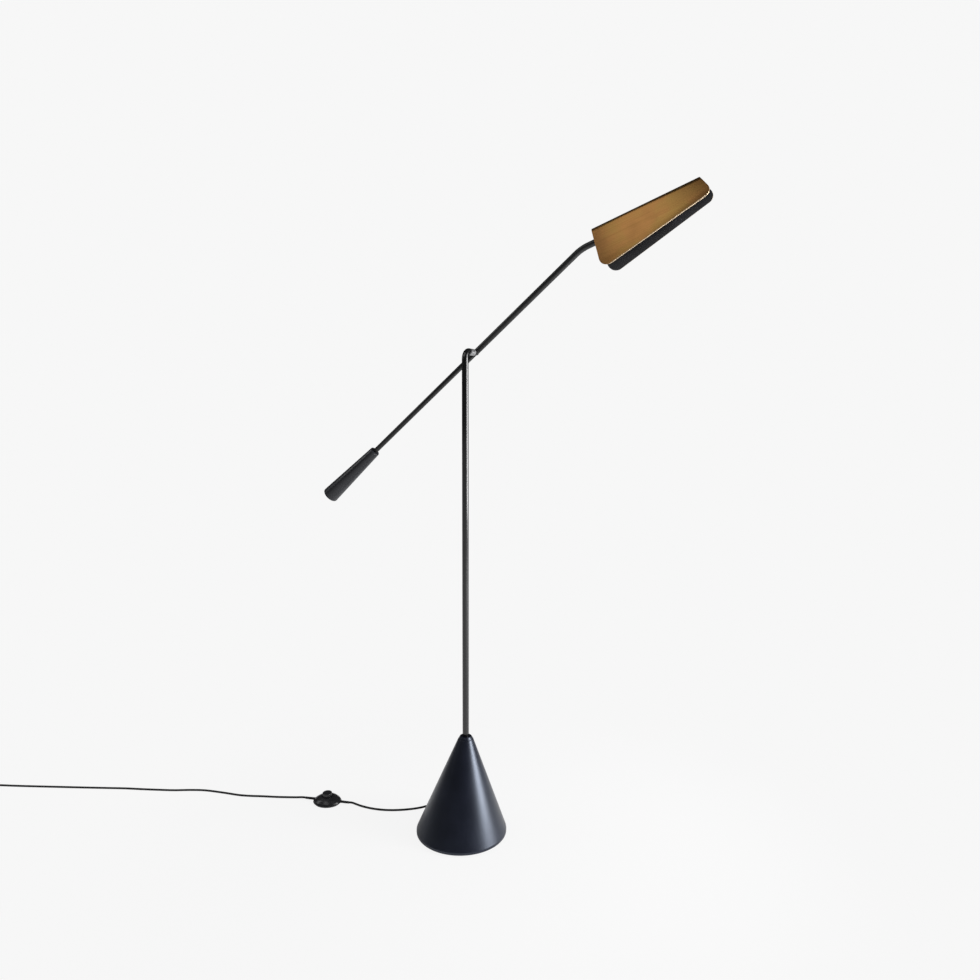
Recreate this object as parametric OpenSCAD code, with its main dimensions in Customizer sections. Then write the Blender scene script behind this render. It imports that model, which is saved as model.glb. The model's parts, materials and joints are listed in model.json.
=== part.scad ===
// Floor lamp with a cone base, a hooked pole, a counterweighted tilting arm and a folded metal shade.
// The origin is the point on the floor under the pole's axis. The arm swings in a plane parallel to XZ.

/* [Base] */
// Diameter of the base at its rim
base_d = 211; // [190:1:280]
// Distance along X from the pole's axis to the rim's centre
base_shift_x = -4.5; // [-15:0.5:15]
// Distance along Y from the pole's axis to the rim's centre
base_shift_y = -13; // [-15:0.5:15]
// Height of the cone's flat top above the floor
base_h = 222; // [160:1:300]
// Diameter of the cone's flat top
cone_top_d = 35; // [30:1:50]
// Wall of the cone, measured square to its side
cone_wall = 3; // [2:0.5:5]
// Height of the upright rim under the cone
rim_h = 6; // [4:1:8]
// Chamfer of the rim's lower edge
rim_chamfer = 1.2; // [0.5:0.1:1.4]
// Thickness of the foot pad
pad_t = 6; // [6:0.5:9]
// Distance from the inside of the rim to the edge of the foot pad
pad_inset = 8; // [4:0.5:30]
// Thickness of the base plate
plate_t = 3; // [2:0.5:5]
// Distance from the cord's gland to the edge of the ballast disc
ballast_gap = 5; // [3:0.5:30]
// Thickness of the ballast disc
ballast_h = 24; // [12:1:40]
// Diameter of the hollow threaded tie rod through the base
tie_d = 8; // [7:0.5:9]
// Bore of the tie rod, which the wires pass through
tie_bore = 5; // [3:0.5:5.5]
// Width of the tie nut across its flats
tie_nut_af = 13; // [12:0.5:15]
// Thickness of the tie nut
tie_nut_t = 3.6; // [3:0.2:4]
// Outer diameter of the washer above the tie nut
tie_washer_d = 24; // [20:1:28]
// Thickness of every flat steel washer
washer_t = 1; // [0.8:0.1:1.4]
// Lower diameter of the tapered ring round the pole's foot
collar_d = 34; // [29:1:35]
// Upper diameter of the tapered ring round the pole's foot
collar_top_d = 27; // [24:1:28]
// Height of the ring round the pole's foot
collar_h = 6; // [4:0.5:12]
// Length of the driver box inside the base
driver_l = 84; // [60:1:90]
// Width of the driver box
driver_w = 34; // [24:1:38]
// Height of the driver box
driver_h = 22; // [16:1:26]

/* [Pole] */
// Outer diameter of the pole
pole_d = 15; // [13:0.5:18]
// Wall of the pole
pole_wall = 2; // [1.5:0.25:2]
// Height of the pivot above the floor
pivot_h = 1118; // [900:1:1300]
// Centreline radius of the bend at the pole's top
hook_r = 18; // [14:1:30]
// Straight length of the pole after the bend
hook_leg = 13; // [12:0.5:30]
// Length of the threaded insert in the pole's foot
insert_len = 30; // [20:1:50]

/* [Pivot] */
// Length of the knuckle that closes the pole's end
knuckle_len = 7; // [6:0.5:16]
// Depth of the knuckle's plug in the pole
knuckle_plug = 10; // [8:0.5:12]
// Width of the shadow groove round the knuckle
groove_w = 1.2; // [0.6:0.2:2]
// Depth of the shadow groove round the knuckle
groove_deep = 0.8; // [0.4:0.1:1.2]
// Thickness of the friction washer
friction_t = 1; // [0.8:0.1:2]
// Diameter of the pivot bolt
bolt_d = 6; // [5:0.5:6]
// Diameter of the pivot bolt's domed head
bolt_head_d = 10; // [9:0.5:14]
// Height of the pivot bolt's head
bolt_head_h = 3; // [2.5:0.5:6]
// Depth of the bolt's thread in the knuckle
bolt_thread = 13; // [8:1:17]
// Diameter of the hub that turns on the pivot bolt
hub_d = 14; // [13:0.5:18]
// Length of the hub from the friction washer to the arm's axis
hub_near = 9.5; // [8:0.5:16]
// Reach of the hub past the arm's far side
hub_far = 0.5; // [0.5:0.5:5]
// Diameter of the hub's far end and of the washer on it
hub_far_d = 10; // [9:0.5:13]
// Distance from the pivot's axis to the ends of the arm tubes
hub_reach = 11; // [9:0.5:16]
// Length of each spigot that holds an arm tube
spigot_len = 18; // [10:1:30]

/* [Arm] */
// Slope of the arm above the horizontal
arm_angle = 39; // [25:0.1:50]
// Outer diameter of the upper arm tube
upper_d = 13.5; // [11:0.5:14]
// Wall of the upper arm tube
upper_wall = 1.5; // [1:0.25:1.5]
// Length from the pivot's axis to the corner of the upper arm's bend
upper_len = 326.5; // [200:0.5:450]
// Centreline radius of the upper arm's bend
arm_bend_r = 90; // [60:1:260]
// Outer diameter of the lower arm tube
lower_d = 12; // [9:0.5:13]
// Wall of the lower arm tube
lower_wall = 2; // [1.5:0.25:2.5]
// Distance from the pivot's axis to the counterweight
weight_start = 366; // [200:1:450]
// Length of the counterweight's taper
weight_len = 184; // [100:1:240]
// Diameter of the counterweight at its upper end
weight_small_d = 24.5; // [20:0.5:30]
// Diameter of the counterweight at its lower end
weight_large_d = 41.5; // [32:0.5:60]
// Rise of the counterweight's crowned lower end
weight_crown = 4; // [3:0.5:12]
// Depth of the lower arm inside the counterweight
weight_grip = 70; // [30:1:90]

/* [Shade] */
// Slope of the shade's ridge above the horizontal
head_angle = 18.4; // [0:0.1:19]
// Straight length of the arm's end between its bend and the shade
tip_len = 18; // [1:0.5:30]
// Length of the ridge
ridge_len = 229; // [150:1:320]
// Height of the ridge above the axis of the arm's end
ridge_rise = 28.3; // [26:0.1:34]
// Depth of the shade at the arm
depth_arm = 97.9; // [70:0.1:130]
// Depth of the shade at its free end
depth_free = 43; // [36:0.1:60]
// Lean of the free end's edge beyond the ridge
free_lean = 18; // [0:0.1:40]
// Lean of the arm end's edge towards the free end
arm_lean = 2.2; // [0:0.1:10]
// Angle between the two folded sides
fold_angle = 27; // [24:1:40]
// Thickness of the sheet
sheet_t = 1.2; // [0.8:0.1:1.4]
// Outer radius of the fold along the ridge
fold_r = 14; // [9:0.5:16]
// Corner radius at the lower corner by the arm
corner_arm = 20; // [8:1:24]
// Corner radius at the lower corner of the free end
corner_free = 14; // [6:1:16]

/* [Light] */
// Length of the light bar under the ridge
bar_len = 196; // [120:1:204]
// Distance from the end of the fold's curve to the light bar's top edge
bar_drop = 1; // [0.5:0.1:3]
// Height of the light bar
bar_h = 4; // [3:0.5:6]
// Width of the circuit board
board_w = 8; // [6:0.5:8]
// Thickness of the circuit board
board_t = 1.2; // [0.8:0.1:1.6]
// Count of light-emitting chips on the board
chip_count = 14; // [6:1:18]
// Side of one chip
chip_w = 3; // [2:0.2:3.6]
// Height of one chip
chip_t = 0.7; // [0.4:0.1:1]
// Depth of the diffuser channel
diffuser_h = 5.5; // [4:0.5:6]
// Wall of the diffuser channel
diffuser_wall = 1; // [0.8:0.1:1.2]
// Diameter of the swivel nipple's thread
nipple_d = 8; // [6:0.5:8]
// Bore of the swivel nipple
nipple_bore = 4; // [2:0.5:4.5]
// Length of the shade's hub on the nipple
shade_hub_len = 14; // [8:1:20]
// Depth of the shade hub's underside below the arm's axis
shade_hub_under = 10; // [7:0.5:14]
// Depth of the arm's end inside the shade
stub_in = 8; // [4:1:12]
// Width of the swivel nut across its flats
swivel_nut_af = 11; // [10:0.5:12]
// Thickness of the swivel nut
swivel_nut_t = 5; // [3:0.5:7]

/* [Foot switch] */
// Diameter of the switch
switch_d = 72; // [60:1:84]
// Height of the switch's housing
switch_h = 20; // [20:1:28]
// Height of the upright rim of the switch
switch_rim_h = 10; // [10:0.5:11]
// Diameter of the flat round the button
switch_top_d = 32; // [30:1:38]
// Wall of the switch's housing
switch_wall = 2; // [1.4:0.1:2]
// Thickness of the anti-slip pad
switch_pad_t = 1.5; // [1:0.25:2]
// Thickness of the switch's bottom plate
switch_plate_t = 3; // [2.5:0.25:3.5]
// Diameter of the button
button_d = 24; // [18:0.5:26]
// Height of the button above the housing
button_rise = 7; // [5:0.5:10]
// Travel of the button
button_travel = 3; // [2:0.25:3.5]
// Width of the flange that keeps the button in
button_flange = 1.6; // [1:0.1:2]
// Thickness of the button's flange
button_flange_t = 2.4; // [2:0.1:3]
// Diameter of the bosses for the switch's screws
boss_d = 7; // [6:0.5:8]
// Distance of the screws from the switch's centre
boss_ring = 24; // [22:0.5:25]
// Diameter of the small screws
small_screw_d = 2.5; // [2:0.25:3]
// Diameter of the small screws' heads
small_head_d = 5; // [4.5:0.25:5.5]
// Height of the small screws' heads
small_head_t = 1.4; // [1:0.1:1.6]

/* [Cord] */
// Diameter of the cord
cord_d = 5; // [4.6:0.1:5.2]
// Height of the cord's gland above the floor
gland_z = 20; // [18:1:30]
// Diameter of the gland's neck in the base
gland_d = 10; // [9:0.5:11]
// Diameter of the gland's inner flange
gland_flange_d = 15; // [13:0.5:17]
// Thickness of the gland's inner flange
gland_flange_t = 3; // [2:0.5:4]
// Length of the tapered sleeve at the base
gland_boot = 30; // [22:1:45]
// Length of the tapered sleeves at the switch
switch_boot = 22; // [20:1:30]
// Diameter of the switch's sleeves at the housing
switch_boot_d = 7.4; // [6.6:0.1:7.6]
// Radius of the put-away coil's outer turn
coil_outer_r = 35; // [33:0.5:40]
// Distance between neighbouring turns of the coil
coil_pitch = 6.5; // [6.4:0.1:6.8]
// Turns in each of the coil's two layers
coil_turns = 2.25; // [1.25:1:2.25]
// Height of one layer above the other
coil_layer = 5.7; // [5.6:0.1:6.4]
// Width of the tie round the coil
tie_w = 8; // [5:0.5:12]
// Thickness of the tie
tie_t = 0.8; // [0.6:0.1:1]
// Width of the plug's body
plug_w = 35; // [32:0.5:38]
// Thickness of the plug's body
plug_t = 14; // [13:0.5:16]
// Length of the plug's body
plug_len = 36; // [30:1:42]
// Width of the plug's grip by the cord
plug_grip_w = 17; // [14:0.5:22]
// Distance from the plug's grip to its full width
plug_shoulder = 22; // [18:0.5:26]
// Length of the plug's tapered sleeve
plug_boot = 24; // [20:1:35]
// Diameter of the plug's sleeve at the plug
plug_boot_d = 9; // [7:0.5:11]
// Diameter of a plug pin
pin_d = 4; // [3.8:0.1:4.2]
// Length of a plug pin
pin_len = 19; // [17:0.5:20]
// Distance between the plug pins
pin_gap = 18.6; // [17:0.2:19.2]

/* [Fits] */
// Radial clearance of parts that fit in each other
fit = 0.05; // [0.02:0.01:0.1]
// Clearance between parts that move past each other
run_gap = 0.3; // [0.2:0.05:0.5]

/* [Hidden] */
$fn = 64;
eps = 0.01;
over = 1;
corner_steps = 10;
route_steps = 2;

black_paint = [0.09, 0.09, 0.12];
black_plastic = [0.07, 0.07, 0.08];
dark_steel = [0.20, 0.20, 0.22];
bright_steel = [0.72, 0.72, 0.74];
brass_sheet = [0.62, 0.46, 0.26];
board_white = [0.92, 0.92, 0.86];
opal_white = [0.95, 0.94, 0.90];
strap_grey = [0.16, 0.16, 0.17];

// Base levels and the cone's slope
base_r = base_d / 2;
base_shift = [base_shift_x, base_shift_y];
cone_top_r = cone_top_d / 2;
shoulder_z = pad_t + plate_t;
rim_z = shoulder_z - rim_h;
cone_slope = (base_r - cone_top_r) / (base_h - shoulder_z);
cone_wall_across = cone_wall * sqrt(1 + cone_slope * cone_slope);
rim_wall = cone_wall_across / 2;
plate_r = base_r - rim_wall - run_gap;
pad_r = base_r - rim_wall - pad_inset;
ballast_top = shoulder_z + ballast_h;
cone_sides = 120;
boss_margin = 5;
boss_deep = 1;
driver_gap = 5;
gland_azimuth = 110;
gland_neck = 4;
gland_wall_r = cone_r(gland_z);
gland_face_r = cone_r(gland_z + gland_flange_d / 2) - cone_wall_across - boss_deep;
gland_tip_r = gland_wall_r + gland_boot;
ballast_r = gland_face_r - gland_flange_t - ballast_gap;
tie_proud = 0.6;
tie_low = pad_t - washer_t - tie_nut_t - tie_proud;
tie_short = 4;
tie_top = base_h + insert_len - tie_short;
recess_gap = 1;

// Pole and pivot stack along Y
pole_r = pole_d / 2;
pole_bore = pole_d - 2 * pole_wall;
leg_end = hook_r + hook_leg;
knuckle_end = leg_end + knuckle_len;
hub_start = knuckle_end + friction_t + fit;
arm_y = hub_start + hub_near;
hub_end = arm_y + upper_d / 2 + hub_far;
head_seat = hub_end + fit + washer_t;
hole_spare = 1;

// Arm and head
upper_bore = upper_d - 2 * upper_wall;
lower_bore = lower_d - 2 * lower_wall;
turn = arm_angle - head_angle;
bend_tangent = arm_bend_r * tan(turn / 2);
stub_len = bend_tangent + tip_len;
weight_round = 1.5;
collar_edge = 0.4;
collar_soft = min(collar_h, (collar_top_d - pole_d) / 2) / 4;
weight_crown_r = (pow(weight_large_d / 2, 2) + pow(weight_crown, 2)) / (2 * weight_crown);
head_x = upper_len * cos(arm_angle) + stub_len * cos(head_angle);
head_z = pivot_h + upper_len * sin(arm_angle) + stub_len * sin(head_angle);

// Shade section and light
fold_half = fold_angle / 2;
fold_steps = 24;
bar_top = fold_r * (1 - sin(fold_half)) + bar_drop;
bar_bottom = bar_top + bar_h;
shade_hub_bottom = ridge_rise + shade_hub_under;
trim_spare = 20;
shade_hub_start = stub_in + run_gap;
shade_hub_end = shade_hub_start + shade_hub_len;
swivel_nut_start = shade_hub_end + washer_t + 2 * fit;
thread_proud = 1;
nipple_end = swivel_nut_start + swivel_nut_t + thread_proud;
bar_start = shade_hub_start;
board_gap = 4;
board_margin = 3;
board_start = nipple_end + board_gap;
board_end = bar_start + bar_len - board_margin;
board_len = board_end - board_start;
diffuser_margin = 2;
diffuser_start = board_start - diffuser_margin;
diffuser_len = board_len + 2 * diffuser_margin;
diffuser_half = bar_half(bar_bottom) - fit;

// Foot switch
switch_at = [-370, -56];
switch_yaw = 15.5;
switch_r = switch_d / 2;
switch_floor = switch_pad_t + switch_plate_t;
switch_round = 3;
switch_pad_inset = 3;
screw_count = 3;
screw_azimuth = 90;
boss_roof = 1;
module_l = 24;
module_w = 18;
button_crown = 2;
button_round = 2;
boot_lift = 0.8;
switch_axis_z = switch_pad_t + switch_boot_d / 2 + boot_lift;
switch_cone_slope = (switch_r - switch_top_d / 2) / (switch_h - switch_rim_h);
button_r = button_d / 2;
button_low = switch_h - switch_wall - button_flange_t - fit;
module_top = button_low - button_travel - run_gap;
boss_top = switch_h - switch_wall - (boss_ring + boss_d / 2 - switch_top_d / 2) / switch_cone_slope;
screw_hole_top = boss_top - boss_roof;
boot_tip_r = switch_r + switch_boot;
boot_neck = 2;
sleeve_wall = 0.7;
sleeve_tip_d = cord_d + 2 * sleeve_wall;
switch_dir = [cos(switch_yaw), sin(switch_yaw)];
boot_end_base = concat(switch_at + boot_tip_r * switch_dir, switch_axis_z);
boot_end_floor = concat(switch_at - boot_tip_r * switch_dir, switch_axis_z);

// Cord
cord_r = cord_d / 2;
tube_sides = 8;
gland_dir = [cos(gland_azimuth), sin(gland_azimuth), 0];
gland_tip = concat(lean_at(gland_z), gland_z) + gland_tip_r * gland_dir;
straight = 2 * cord_d;
coil_at = [-1213, -436];
coil_entry = 115;
coil_sides = 6;
coil_rings = 24;
coil_heading = [cos(coil_entry + 90), sin(coil_entry + 90), 0];
tie_gap = 0.3;
coil_z = cord_r + tie_t + tie_gap;
coil_inner_r = coil_outer_r - coil_pitch * coil_turns;
climb_turns = 0.5;
coil_all = 2 * coil_turns + climb_turns;
coil_edge = concat(coil_at + coil_outer_r * [cos(coil_entry), sin(coil_entry)], coil_z);
coil_start = coil_edge - cord_d * coil_heading;
coil_stop = coil_edge + cord_d * coil_heading + [0, 0, coil_layer];
tie_azimuth = 25;
plug_reach = 66;
plug_z = plug_t / 2;
plug_round = 3;
plug_shoulder_round = 6;
pin_root = 8;
plug_tip = concat([coil_edge.x, coil_edge.y], plug_z) + plug_reach * coil_heading;

// Routes of the free stretches of cord, from the base to the switch and on to the coil
base_route = concat(
    [gland_tip, gland_tip + straight * gland_dir],
    [[-60, 158, 16], [-76, 166, 11], [-94, 158, 7], [-106, 139, 4], [-113, 112, 2.7], [-119, 84, 2.7],
     [-126, 58, 2.7], [-137, 35, 2.7], [-157, 13, 2.7], [-187, -9, 2.7], [-217, -24, 2.7], [-248, -33, 3],
     [-278, -37, 4]],
    [boot_end_base + concat(straight * switch_dir, 0), boot_end_base]
);
floor_route = concat(
    [boot_end_floor, boot_end_floor - concat(straight * switch_dir, 0)],
    [[-458, -81, 3.6], [-496, -97, 2.7], [-535, -113, 2.7], [-565, -126, 2.7], [-594, -136, 2.7],
     [-641, -146, 2.7], [-688, -158, 2.7], [-724, -174, 2.7], [-762, -195, 2.7], [-800, -212, 2.7],
     [-840, -229, 2.7], [-882, -246, 2.7], [-932, -269, 2.7], [-986, -294, 2.7], [-1043, -320, 2.7],
     [-1100, -346, 2.7], [-1150, -369, 3], [-1190, -387, 3.5]],
    [coil_start - straight * coil_heading, coil_start]
);
plug_route = [
    coil_stop,
    coil_stop + straight * coil_heading,
    plug_tip - straight * coil_heading,
    plug_tip
];

// Radius of the cone's outside at a height
function cone_r(z) = base_r - cone_slope * (z - shoulder_z);

// Shift of the cone's axis at a height: whole at the shoulder, none at the flat top
function lean_at(z) = base_shift * (base_h - z) / (base_h - shoulder_z);

// Half the outer width of the folded sheet at a depth below the ridge
function side_half(depth) = fold_r / cos(fold_half) + (depth - fold_r) * tan(fold_half);

// Half the free width inside the folded sheet at a depth below the ridge
function bar_half(depth) = side_half(depth) - (sheet_t + fit) / cos(fold_half);

// Points of an arc of the fold, from one angle to another
function fold_arc(r, from, to) =
    [for (i = [0 : fold_steps])
        let (a = from + (to - from) * i / fold_steps)
        [r * cos(a), r * sin(a) - fold_r]];

function unit(v) = v / norm(v);

// Width of a hexagon across its corners
function across_corners(flats) = flats / cos(30);

// Points of an arc that rounds the corner b between its neighbours a and c
function round_corner(a, b, c, r) =
    let (
        u = unit(a - b),
        v = unit(c - b),
        half = acos(u * v) / 2,
        centre = b + unit(u + v) * r / sin(half),
        from = b + u * r / tan(half) - centre,
        to = b + v * r / tan(half) - centre,
        start = atan2(from.y, from.x),
        sweep = (atan2(to.y, to.x) - start + 540) % 360 - 180
    )
    [for (i = [0 : corner_steps]) centre + r * [cos(start + sweep * i / corner_steps),
                                                sin(start + sweep * i / corner_steps)]];

// One point of a smooth curve between p1 and p2, with p0 and p3 beyond them
function curve_point(p0, p1, p2, p3, t) =
    0.5 * (2 * p1 + (p2 - p0) * t + (2 * p0 - 5 * p1 + 4 * p2 - p3) * t * t
           + (3 * p1 - p0 - 3 * p2 + p3) * t * t * t);

// Smooth curve through all points of a route, with some steps in each part
function smooth_route(points, steps) =
    let (last = len(points) - 1)
    concat(
        [for (i = [0 : last - 1]) for (s = [0 : steps - 1])
            curve_point(points[max(i - 1, 0)], points[i], points[i + 1], points[min(i + 2, last)],
                        s / steps)],
        [points[last]]
    );

// Direction of a route at one of its points
function heading(points, i) = unit(points[min(i + 1, len(points) - 1)] - points[max(i - 1, 0)]);

// One ring of a tube, square to the route
function tube_ring(at, along, r, sides) =
    let (side = unit(cross(along, [0, 0, 1])), up = cross(side, along))
    [for (k = [0 : sides - 1]) at + r * (cos(360 * k / sides) * side + sin(360 * k / sides) * up)];

// One point of the coil after a number of turns: in on the lower layer, a climb of half a turn, and out again
function coil_point(turns) =
    let (
        climb = min(max((turns - coil_turns) / climb_turns, 0), 1),
        inward = min(turns, coil_turns) - max(turns - coil_turns - climb_turns, 0),
        r = coil_outer_r - coil_pitch * inward,
        azimuth = coil_entry + 360 * turns
    )
    [coil_at.x + r * cos(azimuth), coil_at.y + r * sin(azimuth), coil_z + coil_layer * climb];

coil_steps = coil_all * coil_rings;
coil_route = concat(
    [coil_start],
    [for (i = [0 : coil_steps]) coil_point(i / coil_rings)],
    [coil_stop]
);

// Least distance between two stretches of the coil that are half a turn or more apart
function coil_gap() =
    min([for (i = [0 : len(coil_route) - 1]) for (j = [i + coil_rings / 2 : 1 : len(coil_route) - 1])
        norm(coil_route[i] - coil_route[j])]) - cord_d;

echo(coil_self_gap = coil_gap());

// Places a piece in the arm's frame: X along the arm, Y along the pivot
module in_arm() {
    translate([0, arm_y, pivot_h])
        rotate([0, -arm_angle, 0])
            children();
}

// Places a piece in the head's frame: X along the end of the arm, with the ridge above it
module in_head() {
    translate([head_x, arm_y, head_z])
        rotate([0, -head_angle, 0])
            children();
}

module in_switch() {
    translate(concat(switch_at, 0))
        rotate([0, 0, switch_yaw])
            children();
}

module in_plug() {
    translate(plug_tip)
        rotate([0, 0, coil_entry + 90])
            children();
}

module at_gland() {
    translate(concat(lean_at(gland_z), gland_z))
        rotate([0, 0, gland_azimuth])
            rotate([0, 90, 0])
                children();
}

// Places a piece at the rim's centre
module at_rim() {
    translate(concat(base_shift, 0))
        children();
}

// Cylinder along X from one place to another
module along_x(from, to, d) {
    translate([from, 0, 0])
        rotate([0, 90, 0])
            cylinder(h = to - from, d = d);
}

// Cylinder along Y from one place to another
module along_y(from, to, d) {
    translate([0, from, 0])
        rotate([-90, 0, 0])
            cylinder(h = to - from, d = d);
}

module ring_along_y(from, to, outer, inner) {
    difference() {
        along_y(from, to, outer);
        along_y(from - over, to + over, inner);
    }
}

// Closed tube of round section along a route
module tube(points, d, sides) {
    rings = [for (i = [0 : len(points) - 1]) each tube_ring(points[i], heading(points, i), d / 2, sides)];
    last = (len(points) - 1) * sides;
    walls = [for (i = [0 : len(points) - 2]) for (k = [0 : sides - 1])
        let (a = i * sides + k, b = i * sides + (k + 1) % sides)
        each [[a, b, b + sides], [a, b + sides, a + sides]]];
    ends = concat(
        [for (k = [1 : sides - 2]) [0, k + 1, k]],
        [for (k = [1 : sides - 2]) [last, last + k, last + k + 1]]
    );
    polyhedron(points = rings, faces = [for (f = concat(walls, ends)) [f[0], f[2], f[1]]], convexity = 10);
}

// Flat strip of the light's section, as wide as the folded sheet leaves room for
module wedge_along_x(from, to, top, bottom) {
    translate([from, 0, ridge_rise])
        rotate([90, 0, 90])
            linear_extrude(height = to - from)
                polygon([
                    [-bar_half(top), -top],
                    [bar_half(top), -top],
                    [bar_half(bottom), -bottom],
                    [-bar_half(bottom), -bottom]
                ]);
}

// Disc across the cone with its widest edge at a height, on the leaned axis
module cone_disc(z, r) {
    translate(concat(lean_at(z), z - over))
        cylinder(h = over, r1 = r - over, r2 = r, $fn = cone_sides);
}

// Solid of the cone's outside, from the rim's lower edge to the flat top
module cone_outside() {
    hull() {
        at_rim()
            translate([0, 0, rim_z])
                cylinder(h = rim_chamfer, r1 = base_r - rim_chamfer, r2 = base_r, $fn = cone_sides);
        cone_disc(shoulder_z, base_r);
        cone_disc(base_h, cone_top_r);
    }
}

// Hollow inside the cone, with the step that sits on the base plate
module cone_inside() {
    inner_top = base_h - cone_wall;
    at_rim()
        translate([0, 0, rim_z - over])
            cylinder(h = rim_h + over, r = base_r - rim_wall);
    hull() {
        cone_disc(shoulder_z, base_r - cone_wall_across);
        cone_disc(inner_top, cone_r(inner_top) - cone_wall_across);
    }
}

module base_cone() {
    color(black_paint)
        difference() {
            union() {
                difference() {
                    cone_outside();
                    cone_inside();
                }
                intersection() {
                    at_gland()
                        translate([0, 0, gland_face_r])
                            cylinder(h = base_r - gland_face_r, d = gland_flange_d + boss_margin);
                    cone_outside();
                }
            }
            at_gland()
                cylinder(h = base_d, d = gland_d + 2 * fit);
            translate([0, 0, base_h / 2])
                cylinder(h = base_h, d = tie_d + 2 * fit);
        }
}

module base_plate() {
    color(dark_steel)
        difference() {
            at_rim()
                translate([0, 0, pad_t])
                    cylinder(h = plate_t, r = plate_r);
            cylinder(h = base_h, d = tie_d + 2 * fit);
        }
}

module base_ballast() {
    color(dark_steel)
        difference() {
            at_rim()
                translate([0, 0, shoulder_z])
                    cylinder(h = ballast_h, r = ballast_r);
            cylinder(h = base_h, d = tie_d + 2 * fit);
        }
}

module foot_pad() {
    color(black_plastic)
        difference() {
            at_rim()
                cylinder(h = pad_t, r = pad_r);
            translate([0, 0, tie_low - fit])
                cylinder(h = pad_t, d = tie_washer_d + 2 * recess_gap);
        }
}

// Hollow rod from the foot to the pole, with a port in its side for the wires
module tie_rod() {
    color(bright_steel)
        difference() {
            translate([0, 0, tie_low])
                cylinder(h = tie_top - tie_low, d = tie_d);
            translate([0, 0, tie_low - over])
                cylinder(h = tie_top - tie_low + 2 * over, d = tie_bore);
            translate([0, 0, ballast_top + driver_h])
                along_y(-tie_d, 0, tie_bore);
        }
}

module tie_washer() {
    color(bright_steel)
        translate([0, 0, pad_t - washer_t])
            difference() {
                cylinder(h = washer_t, d = tie_washer_d);
                translate([0, 0, -over])
                    cylinder(h = washer_t + 2 * over, d = tie_d + 2 * fit);
            }
}

module tie_nut() {
    color(bright_steel)
        translate([0, 0, pad_t - washer_t - tie_nut_t])
            difference() {
                cylinder(h = tie_nut_t, d = across_corners(tie_nut_af), $fn = 6);
                translate([0, 0, -over])
                    cylinder(h = tie_nut_t + 2 * over, d = tie_d + 2 * fit);
            }
}

module pole_collar() {
    inner = pole_r + fit;
    outer = collar_d / 2;
    top = collar_top_d / 2;
    color(black_paint)
        translate([0, 0, base_h])
            rotate_extrude()
                polygon(concat(
                    [[inner, 0]],
                    round_corner([inner, 0], [outer, 0], [top, collar_h], collar_edge),
                    round_corner([outer, 0], [top, collar_h], [inner, collar_h], collar_soft),
                    [[inner, collar_h]]
                ));
}

module cord_gland() {
    color(black_plastic)
        at_gland()
            union() {
                translate([0, 0, gland_face_r - gland_flange_t])
                    cylinder(h = gland_flange_t, d = gland_flange_d);
                translate([0, 0, gland_face_r - eps])
                    cylinder(h = gland_wall_r + gland_neck - gland_face_r + eps, d = gland_d);
                translate([0, 0, gland_wall_r + gland_neck])
                    cylinder(h = gland_boot - gland_neck, d1 = gland_d, d2 = sleeve_tip_d);
            }
}

module led_driver() {
    inset = tie_d / 2 + driver_gap;
    color(dark_steel)
        translate([-driver_l / 2, -inset - driver_w, ballast_top])
            cube([driver_l, driver_w, driver_h]);
}

// Solid of the hooked pole: upright, bend and level leg
module pole_path(d) {
    union() {
        translate([0, 0, base_h])
            cylinder(h = pivot_h - hook_r - base_h, d = d);
        translate([0, hook_r, pivot_h - hook_r])
            rotate([90, 0, -90])
                rotate_extrude(angle = 90)
                    translate([hook_r, 0])
                        circle(d = d);
        translate([0, 0, pivot_h])
            along_y(hook_r, leg_end, d);
    }
}

module pole() {
    color(black_paint)
        difference() {
            pole_path(pole_d);
            pole_path(pole_bore);
        }
}

module pole_insert() {
    color(bright_steel)
        translate([0, 0, base_h])
            difference() {
                cylinder(h = insert_len, d = pole_bore - 2 * fit);
                translate([0, 0, -over])
                    cylinder(h = insert_len + 2 * over, d = tie_d + 2 * fit);
            }
}

module pivot_knuckle() {
    color(dark_steel)
        translate([0, 0, pivot_h])
            difference() {
                union() {
                    along_y(leg_end - knuckle_plug, leg_end, pole_bore - 2 * fit);
                    along_y(leg_end, leg_end + groove_w, pole_d - 2 * groove_deep);
                    along_y(leg_end + groove_w, knuckle_end, pole_d);
                }
                along_y(knuckle_end - bolt_thread - hole_spare, knuckle_end + over, bolt_d + 2 * fit);
            }
}

module friction_washer() {
    color(bright_steel)
        translate([0, 0, pivot_h])
            ring_along_y(knuckle_end, knuckle_end + friction_t, hub_d, bolt_d + 2 * fit);
}

module outer_washer() {
    color(bright_steel)
        translate([0, 0, pivot_h])
            ring_along_y(hub_end + fit, head_seat, hub_far_d, bolt_d + 2 * fit);
}

module pivot_bolt() {
    dome_r = (pow(bolt_head_d / 2, 2) + pow(bolt_head_h, 2)) / (2 * bolt_head_h);
    color(dark_steel)
        translate([0, 0, pivot_h])
            union() {
                along_y(knuckle_end - bolt_thread, head_seat + eps, bolt_d);
                intersection() {
                    along_y(head_seat, head_seat + bolt_head_h, bolt_head_d);
                    translate([0, head_seat + bolt_head_h - dome_r, 0])
                        sphere(r = dome_r);
                }
            }
}

module arm_hub() {
    color(black_paint)
        difference() {
            union() {
                translate([0, 0, pivot_h]) {
                    along_y(hub_start, arm_y, hub_d);
                    along_y(arm_y - over, hub_end, hub_far_d);
                }
                in_arm() {
                    along_x(0, hub_reach, upper_d);
                    along_x(0, hub_reach + spigot_len, upper_bore - 2 * fit);
                    along_x(-hub_reach, 0, lower_d);
                    along_x(-hub_reach - spigot_len, 0, lower_bore - 2 * fit);
                }
            }
            translate([0, 0, pivot_h])
                along_y(hub_start - over, hub_end + over, bolt_d + 2 * fit);
        }
}

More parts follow.
